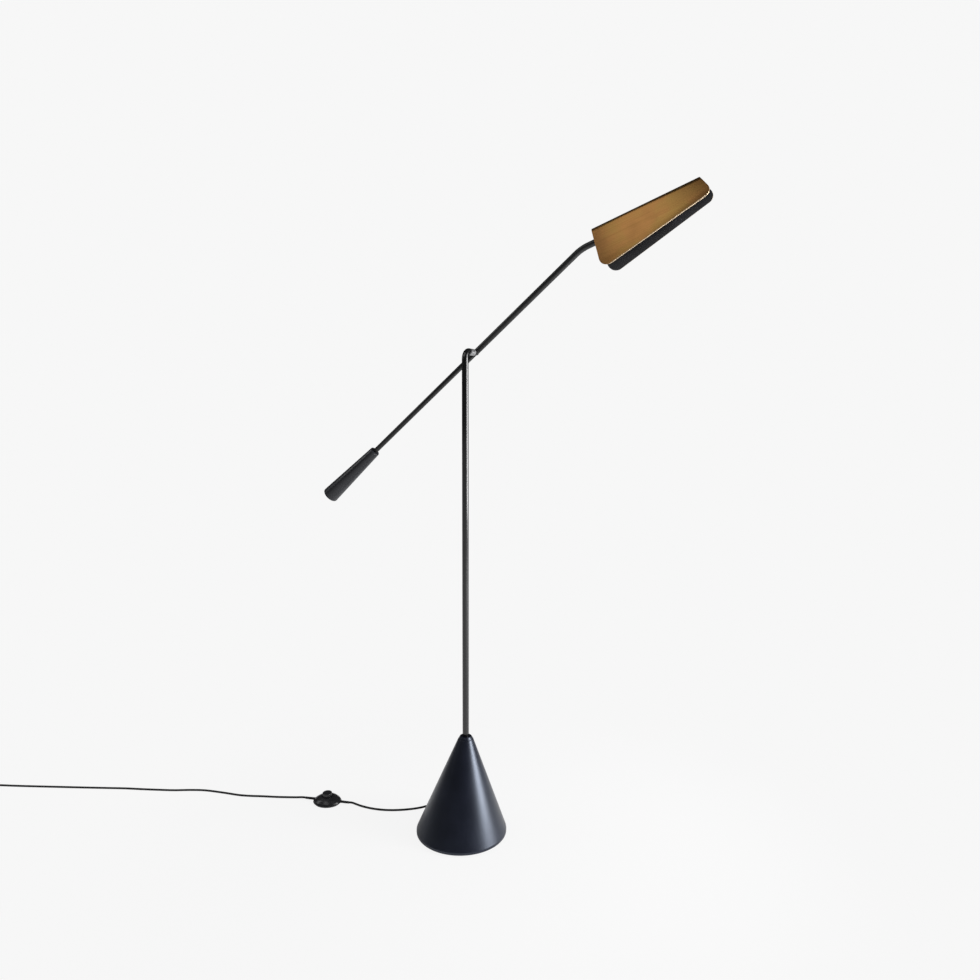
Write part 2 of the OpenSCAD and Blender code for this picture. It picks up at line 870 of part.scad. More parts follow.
// Solid of the upper arm, drawn about the bend's axis: the straight and the shallow bend at its end
module upper_path(d) {
    union() {
        rotate_extrude(angle = turn)
            translate([arm_bend_r, 0])
                circle(d = d);
        translate([arm_bend_r, 0, 0])
            rotate([90, 0, 0])
                cylinder(h = upper_len - bend_tangent - hub_reach, d = d);
    }
}

module upper_arm() {
    color(black_paint)
        in_arm()
            translate([upper_len - bend_tangent, 0, -arm_bend_r])
                rotate([-90, -90, 0])
                    difference() {
                        upper_path(upper_d);
                        upper_path(upper_bore);
                    }
}

module lower_arm() {
    color(black_paint)
        in_arm()
            difference() {
                along_x(-weight_start - weight_grip, -hub_reach, lower_d);
                along_x(-weight_start - weight_grip - over, -hub_reach + over, lower_bore);
            }
}

// Tapered weight with a crowned lower end and a blind bore for the lower arm
module counterweight() {
    crown_from = asin(weight_large_d / 2 / weight_crown_r);
    crown_centre = weight_len + weight_crown - weight_crown_r;
    small_edge = [weight_small_d / 2, 0];
    large_edge = [weight_large_d / 2, weight_len];
    color(black_paint)
        in_arm()
            translate([-weight_start, 0, 0])
                rotate([0, -90, 0])
                    difference() {
                        rotate_extrude()
                            polygon(concat(
                                [[0, 0]],
                                round_corner([0, 0], small_edge, large_edge, weight_round),
                                [for (i = [0 : corner_steps])
                                    let (a = crown_from * (1 - i / corner_steps))
                                    [weight_crown_r * sin(a), crown_centre + weight_crown_r * cos(a)]]
                            ));
                        translate([0, 0, -over])
                            cylinder(h = weight_grip + over + fit, d = lower_d + 2 * fit);
                    }
}

// Turned end of the arm: a shoulder as wide as the tube, and the thread that carries the shade
module swivel_nipple() {
    color(black_paint)
        in_head()
            difference() {
                union() {
                    along_x(-tip_len, stub_in, upper_d);
                    along_x(stub_in - eps, nipple_end, nipple_d);
                }
                along_x(-tip_len - over, nipple_end + over, nipple_bore);
            }
}

module swivel_washer() {
    color(bright_steel)
        in_head()
            difference() {
                along_x(shade_hub_end + fit, shade_hub_end + fit + washer_t, swivel_nut_af);
                along_x(shade_hub_end - over, shade_hub_end + washer_t + over, nipple_d + 2 * fit);
            }
}

module swivel_nut() {
    color(bright_steel)
        in_head()
            translate([swivel_nut_start, 0, 0])
                rotate([0, 90, 0])
                    difference() {
                        cylinder(h = swivel_nut_t, d = across_corners(swivel_nut_af), $fn = 6);
                        translate([0, 0, -over])
                            cylinder(h = swivel_nut_t + 2 * over, d = nipple_d + 2 * fit);
                    }
}

// Section of the folded sheet, open at the bottom
module fold_section() {
    deep = depth_arm + trim_spare;
    outer_low = [side_half(deep), -deep];
    inner_low = [side_half(deep) - sheet_t / cos(fold_half), -deep];
    mirror_x = [[-1, 0], [0, 1]];
    polygon(concat(
        [mirror_x * outer_low],
        fold_arc(fold_r, 180 - fold_half, fold_half),
        [outer_low, inner_low],
        fold_arc(fold_r - sheet_t, fold_half, 180 - fold_half),
        [mirror_x * inner_low]
    ));
}

// Side outline of the shade below its ridge
module side_outline() {
    above = 2 * over;
    ridge_free = [ridge_len, 0];
    low_free = [ridge_len + free_lean, -depth_free];
    low_arm = [arm_lean, -depth_arm];
    polygon(concat(
        [[-arm_lean * above / depth_arm, above], [ridge_len - free_lean * above / depth_free, above]],
        round_corner(ridge_free, low_free, low_arm, corner_free),
        round_corner(low_free, low_arm, [0, 0], corner_arm)
    ));
}

module shade() {
    wide = 4 * depth_arm;
    color(brass_sheet)
        in_head()
            translate([0, 0, ridge_rise])
                intersection() {
                    translate([-over, 0, 0])
                        rotate([90, 0, 90])
                            linear_extrude(height = ridge_len + free_lean + 2 * over)
                                fold_section();
                    translate([0, wide / 2, 0])
                        rotate([90, 0, 0])
                            linear_extrude(height = wide)
                                side_outline();
                }
}

module shade_hub() {
    color(dark_steel)
        in_head()
            difference() {
                wedge_along_x(shade_hub_start, shade_hub_end, bar_bottom, shade_hub_bottom);
                along_x(shade_hub_start - over, shade_hub_end + over, nipple_d + 2 * fit);
            }
}

module light_bar() {
    color(bright_steel)
        in_head()
            wedge_along_x(bar_start, bar_start + bar_len, bar_top, bar_bottom);
}

// Circuit board with its row of light-emitting chips
module led_board() {
    step = board_len / chip_count;
    first_chip = board_start + (step - chip_w) / 2;
    under = ridge_rise - bar_bottom;
    color(board_white)
        in_head()
            union() {
                translate([board_start, -board_w / 2, under - board_t])
                    cube([board_len, board_w, board_t]);
                for (i = [0 : chip_count - 1])
                    translate([first_chip + step * i, -chip_w / 2, under - board_t - chip_t])
                        cube([chip_w, chip_w, chip_t + eps]);
            }
}

module diffuser() {
    under = ridge_rise - bar_bottom;
    inner_half = diffuser_half - diffuser_wall;
    color(opal_white)
        in_head()
            difference() {
                translate([diffuser_start, -diffuser_half, under - diffuser_h])
                    cube([diffuser_len, 2 * diffuser_half, diffuser_h]);
                translate([diffuser_start + diffuser_wall, -inner_half, under - diffuser_h + diffuser_wall])
                    cube([diffuser_len - 2 * diffuser_wall, 2 * inner_half, diffuser_h]);
            }
}

module switch_pad() {
    color(black_plastic)
        in_switch()
            cylinder(h = switch_pad_t, r = switch_r - switch_pad_inset);
}

// Places children at the three screws of the switch
module at_switch_screws() {
    for (i = [0 : screw_count - 1])
        rotate([0, 0, screw_azimuth + 360 * i / screw_count])
            translate([boss_ring, 0, 0])
                children();
}

module switch_plate() {
    color(black_plastic)
        in_switch()
            difference() {
                translate([0, 0, switch_pad_t])
                    cylinder(h = switch_plate_t, r = switch_r - switch_wall - fit);
                at_switch_screws() {
                    translate([0, 0, switch_pad_t - over])
                        cylinder(h = small_head_t + over, d = small_head_d + 2 * fit);
                    cylinder(h = switch_h, d = small_screw_d + 2 * fit);
                }
            }
}

// Skirted housing with a hole for the button, screw bosses and two cord holes
module switch_housing() {
    top_r = switch_top_d / 2;
    rim_edge = [switch_r, switch_rim_h];
    top_edge = [top_r, switch_h];
    inner_rim = switch_r - switch_wall;
    inner_shoulder = switch_rim_h - switch_wall;
    color(black_plastic)
        in_switch()
            difference() {
                union() {
                    rotate_extrude()
                        polygon(concat(
                            [[inner_rim, switch_pad_t], [switch_r, switch_pad_t]],
                            round_corner([switch_r, 0], rim_edge, top_edge, switch_round),
                            round_corner(rim_edge, top_edge, [0, switch_h], switch_round),
                            [[button_r + run_gap, switch_h], [button_r + run_gap, switch_h - switch_wall],
                             [top_r, switch_h - switch_wall], [inner_rim, inner_shoulder]]
                        ));
                    at_switch_screws()
                        translate([0, 0, switch_floor])
                            cylinder(h = boss_top - switch_floor, d = boss_d);
                }
                at_switch_screws()
                    translate([0, 0, switch_floor - over])
                        cylinder(h = screw_hole_top - switch_floor + over, d = small_screw_d + 2 * fit);
                translate([0, 0, switch_axis_z])
                    along_x(-switch_d, switch_d, switch_boot_d + 2 * fit);
            }
}

module switch_module() {
    color(dark_steel)
        in_switch()
            translate([-module_l / 2, -module_w / 2, switch_floor])
                cube([module_l, module_w, module_top - switch_floor]);
}

module switch_button() {
    rise = switch_h + button_rise;
    color(black_plastic)
        in_switch()
            rotate_extrude()
                polygon(concat(
                    [[0, button_low], [button_r + button_flange, button_low],
                     [button_r + button_flange, button_low + button_flange_t],
                     [button_r, button_low + button_flange_t]],
                    round_corner([button_r, 0], [button_r, rise - button_crown], [0, rise], button_round),
                    [[0, rise]]
                ));
}

module switch_screws() {
    color(bright_steel)
        in_switch()
            at_switch_screws()
                union() {
                    translate([0, 0, switch_pad_t])
                        cylinder(h = small_head_t, d = small_head_d);
                    translate([0, 0, switch_pad_t])
                        cylinder(h = screw_hole_top - hole_spare - switch_pad_t, d = small_screw_d);
                }
}

module switch_boots() {
    inside = switch_r - switch_wall;
    color(black_plastic)
        in_switch()
            for (side = [0, 180])
                rotate([0, 0, side])
                    translate([0, 0, switch_axis_z])
                        union() {
                            along_x(inside, switch_r + boot_neck, switch_boot_d);
                            translate([switch_r + boot_neck - eps, 0, 0])
                                rotate([0, 90, 0])
                                    cylinder(h = switch_boot - boot_neck + eps, d1 = switch_boot_d,
                                             d2 = sleeve_tip_d);
                        }
}

module cord_base_run() {
    color(black_plastic)
        tube(smooth_route(base_route, route_steps), cord_d, tube_sides);
}

module cord_floor_run() {
    color(black_plastic)
        tube(smooth_route(floor_route, route_steps), cord_d, tube_sides);
}

module cord_coil() {
    color(black_plastic)
        tube(coil_route, cord_d, coil_sides);
}

// Strap round all turns of the coil at one place
module cord_tie() {
    inner_from = coil_inner_r - cord_r - tie_gap;
    inner_to = coil_outer_r + cord_r + tie_gap;
    inner_h = coil_layer + cord_d + 2 * tie_gap;
    color(strap_grey)
        translate(concat(coil_at, 0))
            rotate([0, 0, tie_azimuth])
                difference() {
                    translate([inner_from - tie_t, -tie_w / 2, 0])
                        cube([inner_to - inner_from + 2 * tie_t, tie_w, inner_h + 2 * tie_t]);
                    translate([inner_from, -tie_w, tie_t])
                        cube([inner_to - inner_from, 2 * tie_w, inner_h]);
                }
}

module cord_plug_run() {
    color(black_plastic)
        tube(smooth_route(plug_route, route_steps), cord_d, tube_sides);
}

module plug_boot() {
    color(black_plastic)
        in_plug()
            rotate([0, 90, 0])
                cylinder(h = plug_boot, d1 = sleeve_tip_d, d2 = plug_boot_d);
}

// Flat two-pin plug, narrow at the cord and wide at the pins
module plug_body() {
    right = [[0, plug_grip_w / 2], [plug_shoulder, plug_w / 2], [plug_len, plug_w / 2]];
    left = [for (p = right) [p.x, -p.y]];
    color(black_plastic)
        in_plug()
            translate([plug_boot, 0, -plug_t / 2])
                difference() {
                    linear_extrude(height = plug_t)
                        polygon(concat(
                            round_corner(left[0], right[0], right[1], plug_round),
                            round_corner(right[0], right[1], right[2], plug_shoulder_round),
                            round_corner(right[1], right[2], left[2], plug_round),
                            round_corner(right[2], left[2], left[1], plug_round),
                            round_corner(left[2], left[1], left[0], plug_shoulder_round),
                            round_corner(left[1], left[0], right[0], plug_round)
                        ));
                    for (side = [-1, 1])
                        translate([plug_len, side * pin_gap / 2, plug_t / 2])
                            along_x(-pin_root, over, pin_d + 2 * fit);
                }
}

module plug_pins() {
    color(bright_steel)
        in_plug()
            for (side = [-1, 1])
                translate([plug_boot + plug_len, side * pin_gap / 2, 0])
                    union() {
                        along_x(-pin_root, pin_len - pin_d / 2, pin_d);
                        translate([pin_len - pin_d / 2, 0, 0])
                            sphere(d = pin_d);
                    }
}

base_cone();
base_plate();
base_ballast();
foot_pad();
tie_rod();
tie_washer();
tie_nut();
pole_collar();
cord_gland();
led_driver();
pole();
pole_insert();
pivot_knuckle();
friction_washer();
outer_washer();
pivot_bolt();
arm_hub();
upper_arm();
lower_arm();
counterweight();
swivel_nipple();
swivel_washer();
swivel_nut();
shade();
shade_hub();
light_bar();
led_board();
diffuser();
switch_pad();
switch_plate();
switch_housing();
switch_module();
switch_button();
switch_screws();
switch_boots();
cord_base_run();
cord_floor_run();
cord_coil();
cord_tie();
cord_plug_run();
plug_boot();
plug_body();
plug_pins();
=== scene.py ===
"""Looks of a floor lamp: a black cone base, a hooked pole, a tilting arm and a folded brass shade.

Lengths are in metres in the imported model's frame: origin on the floor under the pole's axis, +Z up.
"""

import json
import logging
import math
from dataclasses import dataclass, field
from enum import Enum
from typing import Any, Mapping, Optional, Sequence, Union

import bpy
from mathutils import Matrix, Vector

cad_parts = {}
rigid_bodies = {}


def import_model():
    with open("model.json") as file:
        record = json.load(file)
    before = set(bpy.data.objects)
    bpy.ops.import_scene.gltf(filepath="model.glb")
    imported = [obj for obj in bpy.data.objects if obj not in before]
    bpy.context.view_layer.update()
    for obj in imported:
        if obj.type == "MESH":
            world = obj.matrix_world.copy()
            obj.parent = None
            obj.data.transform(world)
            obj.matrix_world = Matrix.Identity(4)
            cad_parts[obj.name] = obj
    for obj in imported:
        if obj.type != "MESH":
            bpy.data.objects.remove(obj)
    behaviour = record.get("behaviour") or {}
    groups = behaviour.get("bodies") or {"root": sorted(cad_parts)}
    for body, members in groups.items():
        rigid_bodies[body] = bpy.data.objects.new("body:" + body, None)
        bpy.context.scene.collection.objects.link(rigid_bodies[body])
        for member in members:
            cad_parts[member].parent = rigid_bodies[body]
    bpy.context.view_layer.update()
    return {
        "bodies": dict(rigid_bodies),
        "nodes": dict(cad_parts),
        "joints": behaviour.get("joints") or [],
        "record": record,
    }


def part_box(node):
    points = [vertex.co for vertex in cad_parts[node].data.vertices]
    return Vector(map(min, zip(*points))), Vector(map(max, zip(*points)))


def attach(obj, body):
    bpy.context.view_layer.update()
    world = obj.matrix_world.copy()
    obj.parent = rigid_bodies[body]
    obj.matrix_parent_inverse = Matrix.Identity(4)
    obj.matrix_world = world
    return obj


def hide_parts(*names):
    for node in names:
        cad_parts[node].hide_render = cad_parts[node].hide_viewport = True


log = logging.getLogger("floor_lamp")

Colour = tuple[float, float, float]
Place = tuple[float, float, float]
Corner = tuple[float, float, float]
Span = tuple[float, float]
Key = Union[str, int]
UP = Vector((0.0, 0.0, 1.0))
FORWARD = Vector((0.0, 1.0, 0.0))
WHITE = (1.0, 1.0, 1.0, 1.0)
NO_TURN = (0, 0, 0)
NO_STRETCH = (1, 1, 1)
# Octaves of a fine noise, and the middle of every noise
FINE = 2.0
MIDDLE = 0.5
# Clearance of a turned fit
FIT = 0.00005
# Thickness of the cord
CORD = 0.005


class Body(str, Enum):
    """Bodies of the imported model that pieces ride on."""

    STAND = "stand"
    ARM = "arm"
    HEAD = "shade_head"
    BUTTON = "foot_button"


class Signal:
    """A number that changes over a surface, with arithmetic that adds Math nodes."""

    def __init__(self, shader: "Shader", socket: bpy.types.NodeSocket) -> None:
        """Wrap one output socket of a shader's tree."""
        self.shader = shader
        self.socket = socket

    def __add__(self, other: "Number") -> "Signal":
        """Add a number or another signal."""
        return self.shader.math("ADD", self, other)

    def __radd__(self, other: "Number") -> "Signal":
        """Add to a number."""
        return self.shader.math("ADD", other, self)

    def __sub__(self, other: "Number") -> "Signal":
        """Take a number or another signal away."""
        return self.shader.math("SUBTRACT", self, other)

    def __rsub__(self, other: "Number") -> "Signal":
        """Take this from a number."""
        return self.shader.math("SUBTRACT", other, self)

    def __mul__(self, other: "Number") -> "Signal":
        """Multiply by a number or another signal."""
        return self.shader.math("MULTIPLY", self, other)

    def __rmul__(self, other: "Number") -> "Signal":
        """Multiply a number by this."""
        return self.shader.math("MULTIPLY", other, self)

    def ramp(self, low: float, high: float) -> "Signal":
        """Rise smoothly from 0 at low to 1 at high.

        Args:
            low: Value of this signal that gives 0.
            high: Value of this signal that gives 1.

        Returns:
            The eased signal, kept between 0 and 1.
        """
        made = self.shader.node(
            "ShaderNodeMapRange",
            {"interpolation_type": "SMOOTHSTEP"},
            {"Value": self, "From Min": low, "From Max": high},
        )
        return Signal(self.shader, made.outputs["Result"])


Number = Union[Signal, float]


class Shader:
    """Node tree of one material or of the world."""

    def __init__(self, owner: Union[bpy.types.Material, bpy.types.World]) -> None:
        """Start an empty tree on its owner."""
        owner.use_nodes = True
        self.tree = owner.node_tree
        self.tree.nodes.clear()

    def node(
        self,
        kind: str,
        settings: Optional[Mapping[str, Any]] = None,
        sockets: Optional[Mapping[Key, Any]] = None,
    ) -> bpy.types.Node:
        """Add one node.

        Args:
            kind: Type of the node.
            settings: Properties of the node, set first.
            sockets: Values or links of its inputs, by name or place.

        Returns:
            The new node.
        """
        made = self.tree.nodes.new(kind)
        for key, value in (settings or {}).items():
            setattr(made, key, value)
        for key, value in (sockets or {}).items():
            if isinstance(value, Signal):
                value = value.socket
            if isinstance(value, bpy.types.NodeSocket):
                self.tree.links.new(value, made.inputs[key])
            else:
                made.inputs[key].default_value = value
        return made

    def math(self, operation: str, *terms: Number) -> Signal:
        """Join numbers by one Math operation."""
        made = self.node("ShaderNodeMath", {"operation": operation}, dict(enumerate(terms)))
        return Signal(self, made.outputs["Value"])

    def surface(
        self, turn: Sequence[float] = NO_TURN, stretch: Sequence[float] = NO_STRETCH
    ) -> bpy.types.NodeSocket:
        """Give Object coordinates, turned and then stretched.

        Args:
            turn: Euler angles that bring the pattern's axes to X, Y and Z.
            stretch: Factors along the turned axes.

        Returns:
            Vector socket for a texture.
        """
        place = self.node("ShaderNodeTexCoord").outputs["Object"]
        for key, value, still in (("Rotation", turn, NO_TURN), ("Scale", stretch, NO_STRETCH)):
            if tuple(value) != still:
                place = self.node("ShaderNodeMapping", None, {"Vector": place, key: value}).outputs["Vector"]
        return place

    def noise(
        self,
        scale: float,
        detail: float = 3.0,
        turn: Sequence[float] = NO_TURN,
        stretch: Sequence[float] = NO_STRETCH,
    ) -> Signal:
        """Give cloudy noise on Object coordinates.

        Args:
            scale: Clouds in a metre.
            detail: Octaves of finer noise.
            turn: Angles of the pattern.
            stretch: Factors along the turned axes.

        Returns:
            Signal about 0.5.
        """
        made = self.node(
            "ShaderNodeTexNoise",
            None,
            {"Vector": self.surface(turn, stretch), "Scale": scale, "Detail": detail},
        )
        return Signal(self, made.outputs["Fac"])

    def along(self, axis: int, turn: Sequence[float] = NO_TURN) -> Signal:
        """Give the distance along one turned axis, in metres."""
        split = self.node("ShaderNodeSeparateXYZ", None, {"Vector": self.surface(turn)})
        return Signal(self, split.outputs[axis])

    def mix(self, factor: Number, first: Any, second: Any) -> bpy.types.NodeSocket:
        """Mix two colours.

        Args:
            factor: 0 for the first colour and 1 for the second.
            first: Colour or colour socket.
            second: Colour or colour socket.

        Returns:
            Colour socket.
        """
        tones = [(*tone, 1.0) if isinstance(tone, tuple) else tone for tone in (first, second)]
        # By place, since the colour sockets share their names with the number and vector ones
        made = self.node("ShaderNodeMix", {"data_type": "RGBA"}, {0: factor, 6: tones[0], 7: tones[1]})
        return made.outputs[2]

    def bump(self, height: Number, depth: float, strength: float = 1.0) -> bpy.types.NodeSocket:
        """Turn a height signal into a normal.

        Args:
            height: Signal between 0 and 1.
            depth: Metres that a signal of 1 stands for.
            strength: Share of the bump that is kept.

        Returns:
            Normal socket.
        """
        made = self.node("ShaderNodeBump", None, {"Height": height, "Distance": depth, "Strength": strength})
        return made.outputs["Normal"]

    def skin(self, **sockets: Any) -> None:
        """End the tree in one Principled shader, with words joined by _ as its sockets' names."""
        named = {key.replace("_", " "): value for key, value in sockets.items()}
        skin = self.node("ShaderNodeBsdfPrincipled", None, named)
        self.node("ShaderNodeOutputMaterial", None, {"Surface": skin.outputs["BSDF"]})


@dataclass(frozen=True)
class Finish:
    """What every finish has: a name, a slot of the record and a material made once."""

    name: str
    slot: str

    def paint(self, shader: Shader) -> None:
        """Fill the material's tree."""
        raise NotImplementedError

    def material(self) -> bpy.types.Material:
        """Give this finish's material, made at its first use.

        Returns:
            The material, named apart from the frame's plain ones, which bear the slots' names.
        """
        title = f"{self.name}_look"
        found = bpy.data.materials.get(title)
        if found is None:
            found = bpy.data.materials.new(title)
            self.paint(Shader(found))
        return found


@dataclass(frozen=True)
class Enamel(Finish):
    """Sprayed enamel: a deep colour, a faint orange peel and a cloudy gloss that can have a tint."""

    deep: Colour = (0.0030, 0.0038, 0.0085)
    light: Colour = (0.0050, 0.0060, 0.0125)
    gloss: float = 0.75
    roughness: float = 0.36
    cloud: float = 0.10
    peel: float = 0.00003
    tint: Colour = (1.0, 1.0, 1.0)
    cloud_scale: float = 18.0
    cloud_span: Span = (0.35, 0.7)
    cloud_share: float = 0.6
    dust_scale: float = 420.0
    peel_scale: float = 700.0
    peel_strength: float = 0.35

    def paint(self, shader: Shader) -> None:
        """Mix the two tones, cloud the gloss and add the peel."""
        clouds = shader.noise(self.cloud_scale)
        dust = shader.noise(self.dust_scale, FINE)
        uneven = clouds * self.cloud_share + dust * (1.0 - self.cloud_share) - MIDDLE
        shader.skin(
            Base_Color=shader.mix(clouds.ramp(*self.cloud_span), self.deep, self.light),
            Roughness=self.roughness + self.cloud * uneven,
            Specular_IOR_Level=self.gloss,
            Specular_Tint=(*self.tint, 1.0),
            Normal=shader.bump(shader.noise(self.peel_scale, FINE), self.peel, self.peel_strength),
        )


@dataclass(frozen=True)
class Brass(Finish):
    """Brushed sheet brass under lacquer, with brown stains in clouds and painted shade darkening both ends.
    """

    deep: Colour = (0.300, 0.152, 0.047)
    light: Colour = (0.410, 0.202, 0.068)
    olive: Colour = (0.365, 0.222, 0.064)
    stain: Colour = (0.180, 0.088, 0.033)
    slope: float = 0.3211
    start: float = 0.6929
    roughness: float = 0.34
    line_stretch: Place = (9.0, 1100.0, 1100.0)
    line_detail: float = 4.0
    line_share: float = 0.6
    band_stretch: Place = (3.0, 130.0, 130.0)
    grain_span: Span = (0.3, 0.7)
    grain_roughness: float = 0.16
    tint_scale: float = 21.0
    tint_span: Span = (0.38, 0.62)
    cloud_scale: float = 13.0
    cloud_span: Span = (0.48, 0.75)
    cloud_share: float = 0.3
    cloud_roughness: float = 0.08
    # Spans along the ridge over which painted shade darkens the arm end and the free end, and the share of
    # that shade
    arm_end_shade: Span = (-0.02, 0.065)
    free_end_shade: Span = (0.11, 0.25)
    end_shade_share: float = 0.35
    relief: float = 0.00005
    relief_strength: float = 0.35

    def paint(self, shader: Shader) -> None:
        """Draw fine brush lines along the ridge, with a brown stain in clouds and painted shade at both
        ends.
        """
        turn = (0.0, self.slope, 0.0)
        lines = shader.noise(1.0, self.line_detail, turn, self.line_stretch)
        bands = shader.noise(1.0, turn=turn, stretch=self.band_stretch)
        clouds = shader.noise(self.cloud_scale)
        tints = shader.noise(self.tint_scale, FINE)
        grain = lines * self.line_share + bands * (1.0 - self.line_share)
        along = shader.along(0, turn) - self.start
        # Painted shade: the colour darkens towards both ends, where the lamp's highlight falls off
        ends = 1.0 - along.ramp(*self.arm_end_shade) * (1.0 - along.ramp(*self.free_end_shade))
        # The stain colour carries both the real brown clouds and the painted shade at the ends
        stained = clouds.ramp(*self.cloud_span) * self.cloud_share + ends * self.end_shade_share
        bright = shader.mix(tints.ramp(*self.tint_span), self.light, self.olive)
        metal = shader.mix(grain.ramp(*self.grain_span), self.deep, bright)
        worn = self.grain_roughness * (grain - MIDDLE) + self.cloud_roughness * (clouds - MIDDLE)
        shader.skin(
            Base_Color=shader.mix(stained, metal, self.stain),
            Metallic=1.0,
            Roughness=self.roughness + worn,
            Normal=shader.bump(lines, self.relief, self.relief_strength),
        )


@dataclass(frozen=True)
class Bare(Finish):
    """Bare metal with fine grain, a few stains and worn gloss."""

    tone: Colour = (0.56, 0.55, 0.54)
    stain: Colour = (0.40, 0.39, 0.38)
    roughness: float = 0.26
    grain: float = 900.0
    relief: float = 0.00002
    relief_strength: float = 0.4
    grain_roughness: float = 0.2
    stain_scale: float = 60.0
    stain_span: Span = (0.4, 0.75)
    stain_share: float = 0.6
    stain_roughness: float = 0.1

    def paint(self, shader: Shader) -> None:
        """Mix the metal's tone with its stains and roughen it with fine grain."""
        clouds = shader.noise(self.stain_scale)
        fine = shader.noise(self.grain, FINE)
        stained = clouds.ramp(*self.stain_span) * self.stain_share
        worn = self.grain_roughness * (fine - MIDDLE) + self.stain_roughness * (clouds - MIDDLE)
        shader.skin(
            Base_Color=shader.mix(stained, self.tone, self.stain),
            Metallic=1.0,
            Roughness=self.roughness + worn,
            Normal=shader.bump(fine, self.relief, self.relief_strength),
        )


@dataclass(frozen=True)
class Moulded(Finish):
    """Moulded plastic or rubber: two close tones, a fine eroded grain and a soft sheen."""

    deep: Colour = (0.006, 0.006, 0.007)
    light: Colour = (0.012, 0.012, 0.014)
    gloss: float = 0.4
    roughness: float = 0.42
    grain: float = 1500.0
    relief: float = 0.00004
    relief_strength: float = 0.5
    grain_roughness: float = 0.14
    cloud_scale: float = 35.0
    cloud_span: Span = (0.3, 0.7)
    cloud_roughness: float = 0.08

    def paint(self, shader: Shader) -> None:
        """Mix the tones in clouds and emboss the grain."""
        clouds = shader.noise(self.cloud_scale)
        grain = shader.noise(self.grain, FINE)
        worn = self.grain_roughness * (grain - MIDDLE) + self.cloud_roughness * (clouds - MIDDLE)
        shader.skin(
            Base_Color=shader.mix(clouds.ramp(*self.cloud_span), self.deep, self.light),
            Roughness=self.roughness + worn,
            Specular_IOR_Level=self.gloss,
            Normal=shader.bump(grain, self.relief, self.relief_strength),
        )


SOOT: Colour = (0.0035, 0.0036, 0.0040)
COAL: Colour = (0.0055, 0.0056, 0.0062)
BLACK = Enamel("black_enamel", "black_enamel", gloss=0.60, tint=(0.74, 0.83, 1.0))
POLE = Enamel("pole_enamel", "black_enamel", SOOT, COAL, 0.6, 0.16, 0.05)
ROD = Enamel("rod_enamel", "black_enamel", SOOT, COAL, 0.4, 0.28)
WEIGHT = Enamel(
    "weight_enamel", "weight_enamel", (0.0085, 0.0090, 0.0120), (0.0130, 0.0135, 0.0175), 0.5, peel=0.00005
)
BRASS = Brass("shade_brass", "shade_brass")
# Bare brass for the cut edges, also laid as a painted highlight strip along the shade's lower edges
EDGE_AND_HIGHLIGHT = Bare("shade_cut_edge_and_highlight", "shade_brass", (0.80, 0.63, 0.44), (0.70, 0.53, 0.35), 0.40)
INSIDE = Moulded(
    "shade_inside", "shade_brass", (0.0075, 0.0070, 0.0090), (0.0120, 0.0115, 0.0145), 0.45, 0.46, 800.0
)
NICKEL = Bare("pivot_nickel", "pivot_steel", (0.46, 0.46, 0.47), (0.36, 0.36, 0.37), 0.42)
STEEL = Bare("zinc_steel", "plain_steel", (0.52, 0.52, 0.53), (0.38, 0.38, 0.40), 0.34)
ALUMINIUM = Bare("bar_aluminium", "bar_aluminium", (0.62, 0.62, 0.63), (0.50, 0.50, 0.51), 0.38, 500.0)
IRON = Bare("ballast_iron", "ballast_iron", (0.10, 0.10, 0.105), (0.06, 0.055, 0.05), 0.62, 260.0, 0.0003)
RUBBER = Moulded(
    "pad_rubber", "pad_rubber", (0.010, 0.010, 0.010), (0.018, 0.018, 0.018), 0.3, 0.62, 900.0, 0.00008
)
JACKET = Moulded(
    "cord_jacket", "cord_black", (0.006, 0.006, 0.007), (0.011, 0.011, 0.012), 0.4, 0.46, 1100.0, 0.00003
)
SLEEVE = Moulded("soft_sleeve", "cord_black", (0.007, 0.007, 0.008), (0.012, 0.012, 0.013), 0.35, 0.5)
PLASTIC = Moulded(
    "black_plastic", "black_plastic", (0.008, 0.008, 0.009), (0.015, 0.015, 0.017), 0.6, 0.27, relief=0.00002
)
OPAL = Moulded(
    "opal_cover", "diffuser_opal", (0.80, 0.79, 0.74), (0.84, 0.83, 0.79), 0.5, 0.30, 1200.0, 0.00002
)
BOARD = Moulded("board_white", "board_white", (0.72, 0.72, 0.68), (0.78, 0.78, 0.75), 0.4, 0.45)
CASE = Moulded("driver_case", "driver_case", (0.60, 0.60, 0.59), (0.66, 0.66, 0.65), 0.4, 0.5)

NODE_FINISHES: dict[str, Finish] = {
    "base_plate": STEEL,
    "base_ballast": IRON,
    "foot_pad": RUBBER,
    "tie_rod": STEEL,
    "tie_washer": STEEL,
    "tie_nut": STEEL,
    "led_driver": CASE,
    "pole_insert": STEEL,
    "outer_washer": NICKEL,
    "swivel_washer": STEEL,
    "swivel_nut": STEEL,
    "shade_hub": ALUMINIUM,
    "light_bar": ALUMINIUM,
    "led_board": BOARD,
    "diffuser": OPAL,
    "switch_module": CASE,
    "switch_screws": STEEL,
}


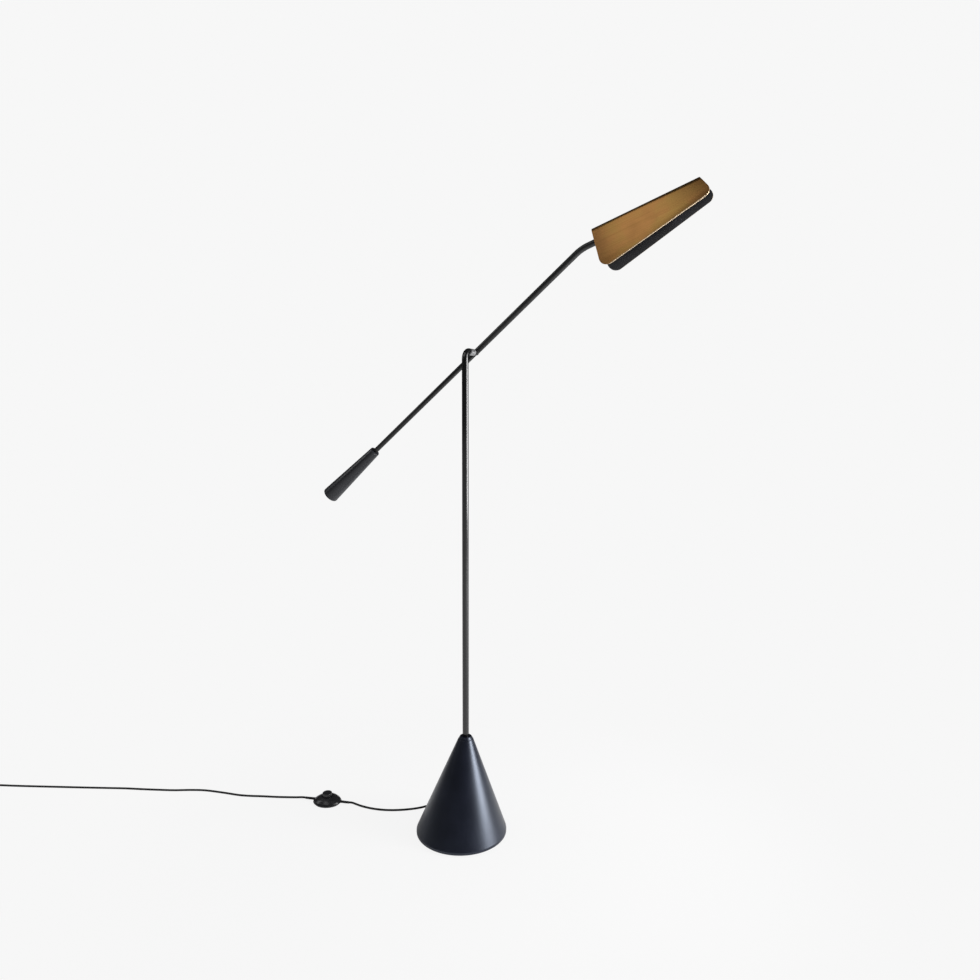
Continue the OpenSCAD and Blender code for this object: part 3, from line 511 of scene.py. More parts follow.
def rounded(corners: Sequence[Corner], steps: int = 6) -> list[Vector]:
    """Turn an outline's corners into points, with an arc at each rounded one.

    Args:
        corners: Place across, place along and radius of each corner. The two ends stay sharp.
        steps: Straight pieces in one arc.

    Returns:
        Points with the place across as X and the place along as Z.
    """
    points: list[Vector] = []
    last = len(corners) - 1
    for index, (across, along, radius) in enumerate(corners):
        here = Vector((across, along))
        if radius <= 0 or index in (0, last):
            points.append(here)
            continue
        back = (Vector(corners[index - 1][:2]) - here).normalized()
        ahead = (Vector(corners[index + 1][:2]) - here).normalized()
        half = back.angle(ahead) / 2
        centre = here + (back + ahead).normalized() * (radius / math.sin(half))
        start = here + back * (radius / math.tan(half)) - centre
        end = here + ahead * (radius / math.tan(half)) - centre
        sweep = math.copysign(math.pi - 2 * half, start.x * end.y - start.y * end.x)
        for step in range(steps + 1):
            points.append(centre + Matrix.Rotation(sweep * step / steps, 2) @ start)
    return [Vector((point.x, 0.0, point.y)) for point in points]


def closed(*corners: Corner) -> list[Corner]:
    """Give an outline that ends where it starts."""
    return [*corners, corners[0]]


def rod_outline(
    radius: float, low: float, high: float, low_round: float = 0.0, high_round: float = 0.0
) -> list[Corner]:
    """Give the outline of a solid rod between two heights, with a rounding at each end."""
    return [(0.0, low, 0.0), (radius, low, low_round), (radius, high, high_round), (0.0, high, 0.0)]


def tube_outline(bore: float, radius: float, low: float, high: float, soft: float = 0.0) -> list[Corner]:
    """Give the outline of a tube between two heights, with soft outer edges."""
    return closed((bore, low, 0.0), (radius, low, soft), (radius, high, soft), (bore, high, 0.0))


def dome_outline(radius: float, height: float, start: float, top: float, steps: int) -> list[Corner]:
    """Give the outline of a round cap, from its side in to the axis.

    Args:
        radius: Radius of the cap's foot.
        height: Height of the cap.
        start: Radius at which the outline starts.
        top: Place of the cap's top along the axis.
        steps: Straight pieces of the outline.

    Returns:
        Corners from the start to the axis.
    """
    ball = (radius**2 + height**2) / (2 * height)
    limit = math.asin(start / ball)
    angles = [limit * (1 - step / steps) for step in range(steps + 1)]
    return [(ball * math.sin(angle), top - ball + ball * math.cos(angle), 0.0) for angle in angles]


def frame_along(origin: Vector, axis: Vector) -> Matrix:
    """Give the frame at origin whose Z runs along axis."""
    return Matrix.Translation(origin) @ axis.to_track_quat("Z", "Y").to_matrix().to_4x4()


class Bench:
    """Models one new mesh with operators, as by hand."""

    SEED = 0.001
    MERGE = 1e-6

    def __init__(self, name: str) -> None:
        """Clear the selection for a new piece of that name."""
        self.name = name
        bpy.ops.object.select_all(action="DESELECT")

    def _edit(self) -> None:
        """Name the new primitive and select all of it in edit mode."""
        bpy.context.object.name = self.name
        bpy.context.object.data.name = self.name
        bpy.ops.object.mode_set(mode="EDIT")
        self.whole()

    def whole(self) -> "Bench":
        """Select everything that is drawn."""
        bpy.ops.mesh.select_all(action="SELECT")
        return self

    def line(self, points: Sequence[Vector]) -> "Bench":
        """Draw a line: a small square merged to a point, then extruded from place to place.

        Args:
            points: Places that the line passes through.

        Returns:
            This bench, with the line's last point selected.
        """
        bpy.ops.mesh.primitive_plane_add(size=self.SEED)
        self._edit()
        bpy.ops.mesh.merge(type="CENTER")
        bpy.ops.transform.translate(value=points[0])
        for start, end in zip(points, points[1:]):
            bpy.ops.mesh.extrude_vertices_move(TRANSFORM_OT_translate={"value": end - start})
        return self

    def ring(self, radius: float, frame: Matrix, sides: int = 48) -> "Bench":
        """Start from a circle in a frame's XY plane."""
        bpy.ops.mesh.primitive_circle_add(
            vertices=sides, radius=radius, location=frame.to_translation(), rotation=frame.to_euler()
        )
        self._edit()
        return self

    def run(self, step: Vector) -> "Bench":
        """Extrude what is selected along a straight step."""
        bpy.ops.mesh.extrude_region_move(TRANSFORM_OT_translate={"value": step})
        return self

    def bend(self, centre: Vector, axis: Vector, angle: float, steps: int) -> "Bench":
        """Spin what is selected about an axis.

        Args:
            centre: Point on the axis.
            axis: Direction of the axis.
            angle: Right-handed angle, in radians.
            steps: Pieces of the bend.

        Returns:
            This bench, with the bend's end selected.
        """
        bpy.ops.mesh.spin(steps=steps, angle=-angle, center=centre, axis=axis)
        return self

    def lathe(self, steps: int) -> "Bench":
        """Spin the whole outline once round Z."""
        self.whole()
        bpy.ops.mesh.spin(steps=steps, angle=2 * math.pi, center=(0, 0, 0), axis=(0, 0, 1))
        return self

    def cut(self, at: Vector, outward: Vector, keep: bool = False) -> "Bench":
        """Cut along a plane.

        Args:
            at: Point on the plane.
            outward: Direction square to the plane.
            keep: Whether what lies outward stays, past the new edge.

        Returns:
            This bench.
        """
        self.whole()
        bpy.ops.mesh.bisect(plane_co=at, plane_no=outward, clear_outer=not keep)
        return self

    def close(self) -> "Bench":
        """Merge doubles, point the faces outwards and leave edit mode."""
        self.whole()
        bpy.ops.mesh.remove_doubles(threshold=self.MERGE)
        bpy.ops.mesh.normals_make_consistent(inside=False)
        bpy.ops.object.mode_set(mode="OBJECT")
        return self

    def fill(self) -> "Bench":
        """Fill the drawn loop with one face."""
        self.whole()
        bpy.ops.mesh.remove_doubles(threshold=self.MERGE)
        bpy.ops.mesh.edge_face_add()
        return self

    def _apply(self, kind: str, settings: Mapping[str, Any]) -> "Bench":
        """Add one modifier with its settings and apply it."""
        made = bpy.context.object.modifiers.new(kind.lower(), kind)
        for key, value in settings.items():
            setattr(made, key, value)
        bpy.ops.object.modifier_apply(modifier=made.name)
        return self

    def thicken(self, wall: float, inside: int = 0, rim: int = 0) -> "Bench":
        """Give a sheet its wall, grown inwards.

        Args:
            wall: Thickness.
            inside: Place of the inner face's material.
            rim: Place of the cut edge's material.

        Returns:
            This bench.
        """
        return self._apply(
            "SOLIDIFY",
            {
                "thickness": wall,
                "offset": -1.0,
                "use_even_offset": True,
                "material_offset": inside,
                "material_offset_rim": rim,
            },
        )

    def soften(self, width: float, segments: int = 2, over_angle: float = 40.0) -> "Bench":
        """Bevel every edge that is sharper than an angle in degrees."""
        return self._apply(
            "BEVEL",
            {
                "width": width,
                "segments": segments,
                "limit_method": "ANGLE",
                "angle_limit": math.radians(over_angle),
            },
        )

    def combine(self, other: bpy.types.Object, operation: str) -> "Bench":
        """Unite with another closed piece or cut it away, and delete that piece.

        Args:
            other: The other piece, at the origin.
            operation: UNION or DIFFERENCE.

        Returns:
            This bench.
        """
        piece = bpy.data.objects[self.name]
        bpy.ops.object.select_all(action="DESELECT")
        bpy.context.view_layer.objects.active = piece
        piece.select_set(True)
        self._apply("BOOLEAN", {"operation": operation, "object": other, "solver": "EXACT"})
        bpy.data.objects.remove(other)
        return self

    def place(self, frame: Matrix) -> "Bench":
        """Move the piece into a frame, with its place in its mesh."""
        piece = bpy.context.object
        piece.matrix_world = frame @ piece.matrix_world
        return self.settle()

    def settle(self) -> "Bench":
        """Put the piece's place, turn and scale in its mesh."""
        bpy.ops.object.transform_apply(location=True, rotation=True, scale=True)
        return self

    def finished(self, smooth_angle: float = 38.0) -> bpy.types.Object:
        """Shade the piece smooth by angle and put its place in its mesh.

        Args:
            smooth_angle: Edges sharper than this many degrees stay sharp.

        Returns:
            The piece.
        """
        self.settle()
        bpy.ops.object.shade_smooth_by_angle(angle=math.radians(smooth_angle))
        piece = bpy.context.object
        bpy.ops.object.select_all(action="DESELECT")
        return piece


def turned(name: str, corners: Sequence[Corner], frame: Matrix, steps: int = 96) -> bpy.types.Object:
    """Turn a piece on the lathe.

    Args:
        name: Name of the piece.
        corners: Outline as radius, place along the axis and corner radius.
        frame: Frame whose Z is the axis.
        steps: Faces round the axis.

    Returns:
        The piece.
    """
    return Bench(name).line(rounded(corners)).lathe(steps).close().place(frame).finished()


def ribbed(
    length: float, wide: float, slim: float, bore: float, ribs: int, groove: float, inside: float = 0.0
) -> list[Corner]:
    """Give the outline of a tapered sleeve with grooves round it.

    Args:
        length: Length of the sleeve.
        wide: Radius at its start.
        slim: Radius at its end.
        bore: Radius of its hole.
        ribs: Number of ribs.
        groove: Depth of a groove.
        inside: Length of the plain neck before its start.

    Returns:
        Closed outline for the lathe.
    """
    crest_share, soft_share = 0.62, 0.12
    pitch = length / ribs
    crest = pitch * crest_share
    soft = min(pitch * soft_share, groove / 2)
    corners: list[Corner] = [(bore, -inside, 0.0)]
    if inside > 0:
        corners.append((wide, -inside, 0.0))
    for rib in range(ribs):
        start = rib * pitch
        outer = wide + (slim - wide) * rib / max(ribs - 1, 1)
        corners.append((outer, start, soft))
        if rib == ribs - 1:
            corners.append((outer, length, soft))
            continue
        corners.append((outer, start + crest, soft))
        corners.append((outer - groove, start + crest + soft, 0.0))
        corners.append((outer - groove, start + pitch - soft, 0.0))
    corners.append((bore, length, 0.0))
    return closed(*corners)


def hand_over(
    piece: bpy.types.Object, body: Body, finishes: Sequence[Finish], *nodes: str
) -> bpy.types.Object:
    """Dress a piece and tie it to the frame.

    Args:
        piece: The finished piece.
        body: Body that it rides on.
        finishes: Its finishes, in the order of its material places.
        nodes: CAD nodes that it stands for.

    Returns:
        The piece.
    """
    while len(piece.data.materials) < len(finishes):
        piece.data.materials.append(None)
    for index, finish in enumerate(finishes):
        piece.data.materials[index] = finish.material()
    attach(piece, body.value)
    if nodes:
        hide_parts(*nodes)
    log.info("%s rides on %s and stands for %s", piece.name, body.value, ", ".join(nodes) or "no node")
    return piece


@dataclass
class Base:
    """Hollow cone on its rim, with the ring round the pole's foot and the cord's gland."""

    rim_radius: float = 0.1055
    shift: Vector = field(default_factory=lambda: Vector((-0.0045, -0.013, 0.0)))
    rim_low: float = 0.003
    shoulder: float = 0.009
    height: float = 0.222
    top_radius: float = 0.0175
    wall: float = 0.003246
    rim_round: float = 0.0014
    shoulder_round: float = 0.0040
    top_round: float = 0.0016
    rod_hole: float = 0.00405
    collar_radius: float = 0.017
    collar_top: float = 0.0135
    collar_height: float = 0.006
    collar_bore: float = 0.00755
    gland_azimuth: float = 110.0
    gland_height: float = 0.020
    gland_length: float = 0.030
    gland_neck: float = 0.004
    gland_radius: float = 0.005
    gland_tip_radius: float = 0.0032
    ribs: int = 8
    gland_groove: float = 0.0006
    gland_inside: float = 0.020
    gland_sides: int = 48
    drill_near: float = 0.05
    drill_far: float = 0.15
    collar_edge: float = 0.0004
    collar_round: float = 0.0014
    sides: int = 160

    def radius_at(self, height: float) -> float:
        """Give the cone's outer radius at a height."""
        slope = (self.rim_radius - self.top_radius) / (self.height - self.shoulder)
        return self.rim_radius - slope * (height - self.shoulder)

    def lean_at(self, height: float) -> Vector:
        """Give the cone's axis at a height, from the rim's centre up to the pole."""
        return self.shift * min((self.height - height) / (self.height - self.shoulder), 1.0)

    @property
    def gland_direction(self) -> Vector:
        """Give the direction in which the cord leaves the base."""
        azimuth = math.radians(self.gland_azimuth)
        return Vector((math.cos(azimuth), math.sin(azimuth), 0.0))

    @property
    def gland_tip(self) -> Vector:
        """Give the place where the cord leaves its gland."""
        reach = self.radius_at(self.gland_height) + self.gland_length
        return self.lean_at(self.gland_height) + self.gland_direction * reach + UP * self.gland_height

    def shell(self) -> bpy.types.Object:
        """Turn the cone's thin shell, with soft edges, lean it to its rim and drill it for the gland."""
        seat = self.rim_radius - self.wall / 2
        ceiling = self.height - self.wall
        corners = closed(
            (seat, self.rim_low, 0.0),
            (self.rim_radius, self.rim_low, self.rim_round),
            (self.rim_radius, self.shoulder, self.shoulder_round),
            (self.top_radius, self.height, self.top_round),
            (self.rod_hole, self.height, 0.0),
            (self.rod_hole, ceiling, 0.0),
            (self.radius_at(ceiling) - self.wall, ceiling, 0.0),
            (self.rim_radius - self.wall, self.shoulder, 0.0),
            (seat, self.shoulder, 0.0),
        )
        drill = turned(
            "gland_drill",
            rod_outline(self.gland_radius, self.drill_near, self.drill_far),
            frame_along(self.lean_at(self.gland_height) + UP * self.gland_height, self.gland_direction),
            self.gland_sides,
        )
        bench = Bench("base_shell").line(rounded(corners)).lathe(self.sides).close()
        for vertex in bpy.context.object.data.vertices:
            vertex.co += self.lean_at(vertex.co.z)
        return bench.combine(drill, "DIFFERENCE").finished()

    def collar(self) -> bpy.types.Object:
        """Turn the ring round the pole's foot."""
        corners = closed(
            (self.collar_bore, 0.0, 0.0),
            (self.collar_radius, 0.0, self.collar_edge),
            (self.collar_top, self.collar_height, self.collar_round),
            (self.collar_bore, self.collar_height, self.collar_edge),
            (self.collar_bore, self.collar_height / 2, 0.0),
        )
        return turned("foot_collar", corners, Matrix.Translation(UP * self.height))

    def gland(self) -> bpy.types.Object:
        """Turn the ribbed gland that holds the cord in the cone's wall."""
        length = self.gland_length - self.gland_neck
        start = self.gland_tip - self.gland_direction * length
        outline = ribbed(
            length,
            self.gland_radius,
            self.gland_tip_radius,
            CORD / 2,
            self.ribs,
            self.gland_groove,
            self.gland_inside,
        )
        frame = frame_along(start, self.gland_direction)
        return turned("cord_gland_sleeve", outline, frame, self.gland_sides)

    def build(self) -> None:
        """Make the base's pieces."""
        hand_over(self.shell(), Body.STAND, [BLACK], "base_cone")
        hand_over(self.collar(), Body.STAND, [BLACK], "pole_collar")
        hand_over(self.gland(), Body.STAND, [SLEEVE], "cord_gland")


@dataclass
class Pole:
    """Tube that stands on the base and hooks over at its top, with the pivot's still pieces."""

    pivot: Vector
    foot: float
    radius: float = 0.0075
    wall: float = 0.002
    hook_radius: float = 0.018
    leg: float = 0.013
    knuckle: float = 0.007
    groove: float = 0.0012
    groove_depth: float = 0.0008
    plug: float = 0.010
    washer: float = 0.001
    hub_radius: float = 0.007
    bolt_radius: float = 0.003
    head_seat: float = 0.05685
    head_radius: float = 0.005
    head_height: float = 0.003
    socket_radius: float = 0.00231
    socket_depth: float = 0.0017
    socket_sides: int = 6
    thread: float = 0.03185
    thread_round: float = 0.0006
    head_inset: float = 0.0003
    head_edge: float = 0.0002
    dome_steps: int = 14
    plated_from: float = 0.0005
    edge: float = 0.0005
    groove_round: float = 0.0002
    knuckle_edge: float = 0.0004
    knuckle_round: float = 0.0008
    washer_edge: float = 0.0003
    sides: int = 64
    bend_steps: int = 32
    pivot_sides: int = 72

    def across(self, distance: float) -> Matrix:
        """Give the frame on the pivot's axis at a distance from the pole, with Z along the axis."""
        return frame_along(Vector((self.pivot.x, distance, self.pivot.z)), FORWARD)

    def tube(self) -> bpy.types.Object:
        """Extrude a ring up from the base, bend it over and run it to the knuckle, with that end plated."""
        bend_height = self.pivot.z - self.hook_radius
        centre = Vector((0.0, self.hook_radius, bend_height))
        bench = Bench("hooked_pole").ring(self.radius, Matrix.Translation(UP * self.foot), self.sides)
        bench.run(UP * (bend_height - self.foot))
        bench.bend(centre, Vector((1.0, 0.0, 0.0)), -math.pi / 2, self.bend_steps)
        bench.run(FORWARD * self.leg)
        piece = bench.close().thicken(self.wall).soften(self.edge).finished()
        for finish in (POLE, NICKEL):
            piece.data.materials.append(finish.material())
        for face in piece.data.polygons:
            face.material_index = int(face.center.y > self.hook_radius + self.plated_from)
        return piece

    def knuckle_piece(self) -> bpy.types.Object:
        """Turn the knuckle, with its plug in the tube and the groove at the tube's end."""
        slim = self.radius - self.groove_depth
        plug = self.radius - self.wall - FIT
        hole = self.bolt_radius + FIT
        corners = closed(
            (hole, -self.plug, 0.0),
            (plug, -self.plug, 0.0),
            (plug, 0.0, 0.0),
            (slim, 0.0, 0.0),
            (slim, self.groove, self.groove_round),
            (self.radius, self.groove, self.knuckle_edge),
            (self.radius, self.knuckle, self.knuckle_round),
            (hole, self.knuckle, 0.0),
        )
        frame = self.across(self.hook_radius + self.leg)
        return turned("pivot_knuckle_turned", corners, frame, self.pivot_sides)

    def friction_ring(self) -> bpy.types.Object:
        """Turn the washer that the arm's hub rubs on."""
        frame = self.across(self.hook_radius + self.leg + self.knuckle)
        corners = tube_outline(self.bolt_radius + FIT, self.hub_radius, 0.0, self.washer, self.washer_edge)
        return turned("friction_ring", corners, frame, self.pivot_sides)

    def bolt(self) -> bpy.types.Object:
        """Turn the domed bolt and press a six-sided socket into its head."""
        corners: list[Corner] = [
            (0.0, -self.thread, 0.0),
            (self.bolt_radius, -self.thread, self.thread_round),
            (self.bolt_radius, 0.0, 0.0),
            (self.head_radius - self.head_inset, 0.0, self.head_edge),
        ]
        corners += dome_outline(
            self.head_radius, self.head_height, self.head_radius, self.head_height, self.dome_steps
        )
        frame = self.across(self.head_seat)
        floor = frame @ Matrix.Translation(UP * (self.head_height - self.socket_depth))
        socket = Bench("socket_drill").ring(self.socket_radius, floor, self.socket_sides).fill()
        drill = socket.run(FORWARD * self.head_height).close().finished()
        bench = Bench("pivot_bolt_domed").line(rounded(corners)).lathe(self.pivot_sides).close().place(frame)
        return bench.combine(drill, "DIFFERENCE").finished()

    def build(self) -> None:
        """Make the pole's pieces."""
        hand_over(self.tube(), Body.STAND, [POLE, NICKEL], "pole")
        hand_over(self.knuckle_piece(), Body.STAND, [NICKEL], "pivot_knuckle")
        hand_over(self.friction_ring(), Body.STAND, [NICKEL], "friction_washer")
        hand_over(self.bolt(), Body.STAND, [NICKEL], "pivot_bolt")


@dataclass
class Arm:
    """Arm on the pivot: hub, upper tube with its bent end, lower tube and counterweight."""

    pivot: Vector
    head: Vector
    head_axis: Vector
    angle: float = math.radians(39.0)
    hub_near: float = 0.0095
    hub_far: float = 0.00725
    hub_radius: float = 0.007
    hub_far_radius: float = 0.005
    hub_reach: float = 0.011
    bolt_hole: float = 0.00305
    upper_radius: float = 0.00675
    upper_wall: float = 0.0015
    upper_length: float = 0.3265
    bend_radius: float = 0.090
    lower_radius: float = 0.006
    lower_wall: float = 0.002
    weight_start: float = 0.366
    weight_length: float = 0.184
    weight_small: float = 0.01225
    weight_large: float = 0.02075
    weight_crown: float = 0.004
    weight_grip: float = 0.070
    weight_round: float = 0.0015
    tip: float = 0.018
    stub: float = 0.008
    nipple_radius: float = 0.004
    nipple_end: float = 0.0294
    nipple_bore: float = 0.002
    hub_round: float = 0.0007
    hub_edge: float = 0.0003
    socket_gap: float = 0.0004
    edge: float = 0.0002
    weight_edge: float = 0.0008
    weight_lift: float = 0.0002
    crown_steps: int = 12
    stub_round: float = 0.0006
    tip_round: float = 0.0005
    sides: int = 64
    hub_sides: int = 72
    weight_sides: int = 96
    bend_steps: int = 16

    @property
    def along(self) -> Vector:
        """Give the direction up the arm."""
        return Vector((math.cos(self.angle), 0.0, math.sin(self.angle)))

    @property
    def across(self) -> Vector:
        """Give the direction square to the arm, away from the floor."""
        return Vector((-math.sin(self.angle), 0.0, math.cos(self.angle)))

    def hub(self) -> bpy.types.Object:
        """Turn the hub and unite it with the two sockets that hold the tubes."""
        hole = self.bolt_hole
        barrel = closed(
            (hole, -self.hub_near, 0.0),
            (self.hub_radius, -self.hub_near, self.hub_round),
            (self.hub_radius, 0.0, self.hub_round),
            (self.hub_far_radius, 0.0, 0.0),
            (self.hub_far_radius, self.hub_far, self.hub_edge),
            (hole, self.hub_far, 0.0),
        )
        sockets = [
            turned(
                name,
                rod_outline(radius, hole + self.socket_gap, self.hub_reach, 0.0, self.edge),
                frame_along(self.pivot, way),
                self.sides,
            )
            for name, radius, way in (
                ("upper_socket", self.upper_radius, self.along),
                ("lower_socket", self.lower_radius, -self.along),
            )
        ]
        frame = frame_along(self.pivot, FORWARD)
        bench = Bench("pivot_hub").line(rounded(barrel)).lathe(self.hub_sides).close().place(frame)
        for socket in sockets:
            bench.combine(socket, "UNION")
        return bench.finished()

    def upper_tube(self) -> bpy.types.Object:
        """Extrude a ring up the arm and bend it down to the shade's slope."""
        turn = self.angle - math.atan2(self.head_axis.z, self.head_axis.x)
        straight = self.upper_length - self.bend_radius * math.tan(turn / 2)
        start = self.pivot + self.along * self.hub_reach
        centre = self.pivot + self.along * straight - self.across * self.bend_radius
        bench = Bench("upper_tube").ring(self.upper_radius, frame_along(start, self.along), self.sides)
        bench.run(self.along * (straight - self.hub_reach))
        bench.bend(centre, FORWARD, turn, self.bend_steps)
        return bench.close().thicken(self.upper_wall).soften(self.edge).finished()

    def lower_tube(self) -> bpy.types.Object:
        """Extrude a ring down the arm into the counterweight."""
        start = self.pivot - self.along * self.hub_reach
        length = self.weight_start + self.weight_grip - self.hub_reach
        bench = Bench("lower_tube").ring(self.lower_radius, frame_along(start, -self.along), self.sides)
        return bench.run(-self.along * length).close().thicken(self.lower_wall).soften(self.edge).finished()

    def counterweight(self) -> bpy.types.Object:
        """Turn the tapered weight, with its crowned end and the hole for the tube."""
        hole = self.lower_radius + FIT
        crown = dome_outline(
            self.weight_large,
            self.weight_crown,
            self.weight_large - self.weight_edge / 2,
            self.weight_length + self.weight_crown,
            self.crown_steps,
        )
        corners = closed(
            (hole, 0.0, 0.0),
            (self.weight_small, 0.0, self.weight_round),
            (self.weight_large, self.weight_length + self.weight_lift, self.weight_edge),
            *crown[1:],
            (0.0, self.weight_grip, 0.0),
            (hole, self.weight_grip, 0.0),
        )
        start = self.pivot - self.along * self.weight_start
        return turned("tapered_weight", corners, frame_along(start, -self.along), self.weight_sides)

    def nipple(self) -> bpy.types.Object:
        """Turn the arm's end that the shade swivels on."""
        corners = closed(
            (self.nipple_bore, -self.tip, 0.0),
            (self.upper_radius, -self.tip, self.edge),
            (self.upper_radius, self.stub, self.stub_round),
            (self.nipple_radius, self.stub, 0.0),
            (self.nipple_radius, self.nipple_end, self.tip_round),
            (self.nipple_bore, self.nipple_end, 0.0),
        )
        return turned("swivel_end", corners, frame_along(self.head, self.head_axis), self.sides)

    def build(self) -> None:
        """Make the arm's pieces."""
        hand_over(self.hub(), Body.ARM, [ROD], "arm_hub")
        hand_over(self.upper_tube(), Body.ARM, [ROD], "upper_arm")
        hand_over(self.lower_tube(), Body.ARM, [ROD], "lower_arm")
        hand_over(self.counterweight(), Body.ARM, [WEIGHT], "counterweight")
        hand_over(self.nipple(), Body.ARM, [ROD], "swivel_nipple")


@dataclass
class Shade:
    """Folded sheet over the light: brass outside, black inside, with a bright cut edge and a painted
    highlight strip along its lower edges.
    """

    origin: Vector
    axis: Vector
    ridge_rise: float = 0.0283
    ridge_length: float = 0.229
    free_lean: float = 0.018
    arm_lean: float = 0.0022
    depth_arm: float = 0.0979
    depth_free: float = 0.043
    half_angle: float = math.radians(13.5)
    sheet: float = 0.0012
    fold_radius: float = 0.014
    corner_arm: float = 0.020
    corner_free: float = 0.014
    # Width of the painted highlight strip along the lower edges
    highlight_strip: float = 0.0016
    fold_steps: int = 28
    corner_steps: int = 14
    spare: float = 0.02
    edge: float = 0.00025
    edge_segments: int = 2
    edge_angle: float = 50.0
    smooth_angle: float = 30.0
    lining: int = 1
    rim: int = 2
    finishes: Sequence[Finish] = (BRASS, INSIDE, EDGE_AND_HIGHLIGHT, INSIDE, EDGE_AND_HIGHLIGHT)

    @property
    def frame(self) -> Matrix:
        """Give the frame with X along the ridge and Z square to it, away from the light."""
        rise = self.axis.cross(FORWARD)
        turn = Matrix((self.axis, FORWARD, rise)).transposed().to_4x4()
        return Matrix.Translation(self.origin) @ turn

    def section(self) -> list[Vector]:
        """Give the sheet's outer line across the fold, from one lower edge to the other."""
        low = self.depth_arm + self.spare
        centre = self.ridge_rise - self.fold_radius
        sweep = math.pi / 2 - self.half_angle
        angles = [sweep * (2 * step / self.fold_steps - 1) for step in range(self.fold_steps + 1)]
        arc = [
            Vector((0.0, self.fold_radius * math.sin(angle), centre + self.fold_radius * math.cos(angle)))
            for angle in angles
        ]
        flare = (low - self.fold_radius) * math.tan(self.half_angle)
        reach = self.fold_radius / math.cos(self.half_angle) + flare
        ends = [Vector((0.0, side * reach, self.ridge_rise - low)) for side in (-1, 1)]
        return [ends[0], *arc, ends[1]]

    def trim(self) -> list[Vector]:
        """Give the lower outline seen from the side, from the free end's ridge to the arm end."""
        corners = [
            (self.ridge_length, self.ridge_rise, 0.0),
            (self.ridge_length + self.free_lean, self.ridge_rise - self.depth_free, self.corner_free),
            (self.arm_lean, self.ridge_rise - self.depth_arm, self.corner_arm),
            (0.0, self.ridge_rise, 0.0),
        ]
        return rounded(corners, self.corner_steps)

    def folded_sheet(self) -> bpy.types.Object:
        """Extrude the fold along the ridge, trim it, mark a painted highlight strip at its lower edges and
        give it its wall.
        """
        length = self.ridge_length + self.free_lean
        bench = Bench("folded_shade").line(self.section()).whole().run(Vector((length, 0.0, 0.0)))
        outline = self.trim()
        for start, end in zip(outline, outline[1:]):
            step = end - start
            bench.cut(start, Vector((-step.z, 0.0, step.x)).normalized())
        # Painted highlight: a strip along the lower edges, past this line, takes the bright edge finish
        low_arm = Vector((self.arm_lean, 0.0, self.ridge_rise - self.depth_arm))
        low_free = Vector((length, 0.0, self.ridge_rise - self.depth_free))
        square = (low_free - low_arm).cross(FORWARD).normalized()
        mark = low_arm + square * self.highlight_strip
        bench.cut(mark, square, keep=True).close()
        piece = bpy.context.object
        middle = max(piece.data.polygons, key=lambda face: face.area)
        if middle.normal.y * middle.center.y < 0:
            piece.data.flip_normals()
        for _ in self.finishes:
            piece.data.materials.append(None)
        # Faces of the strip take the bright edge finish as a painted highlight
        for face in piece.data.polygons:
            if (face.center - mark).dot(square) < 0:
                face.material_index = self.rim
        bench.thicken(self.sheet, self.lining, self.rim)
        bench.soften(self.edge, self.edge_segments, self.edge_angle)
        return bench.place(self.frame).finished(self.smooth_angle)

    def build(self) -> None:
        """Make the shade."""
        hand_over(self.folded_sheet(), Body.HEAD, self.finishes, "shade")


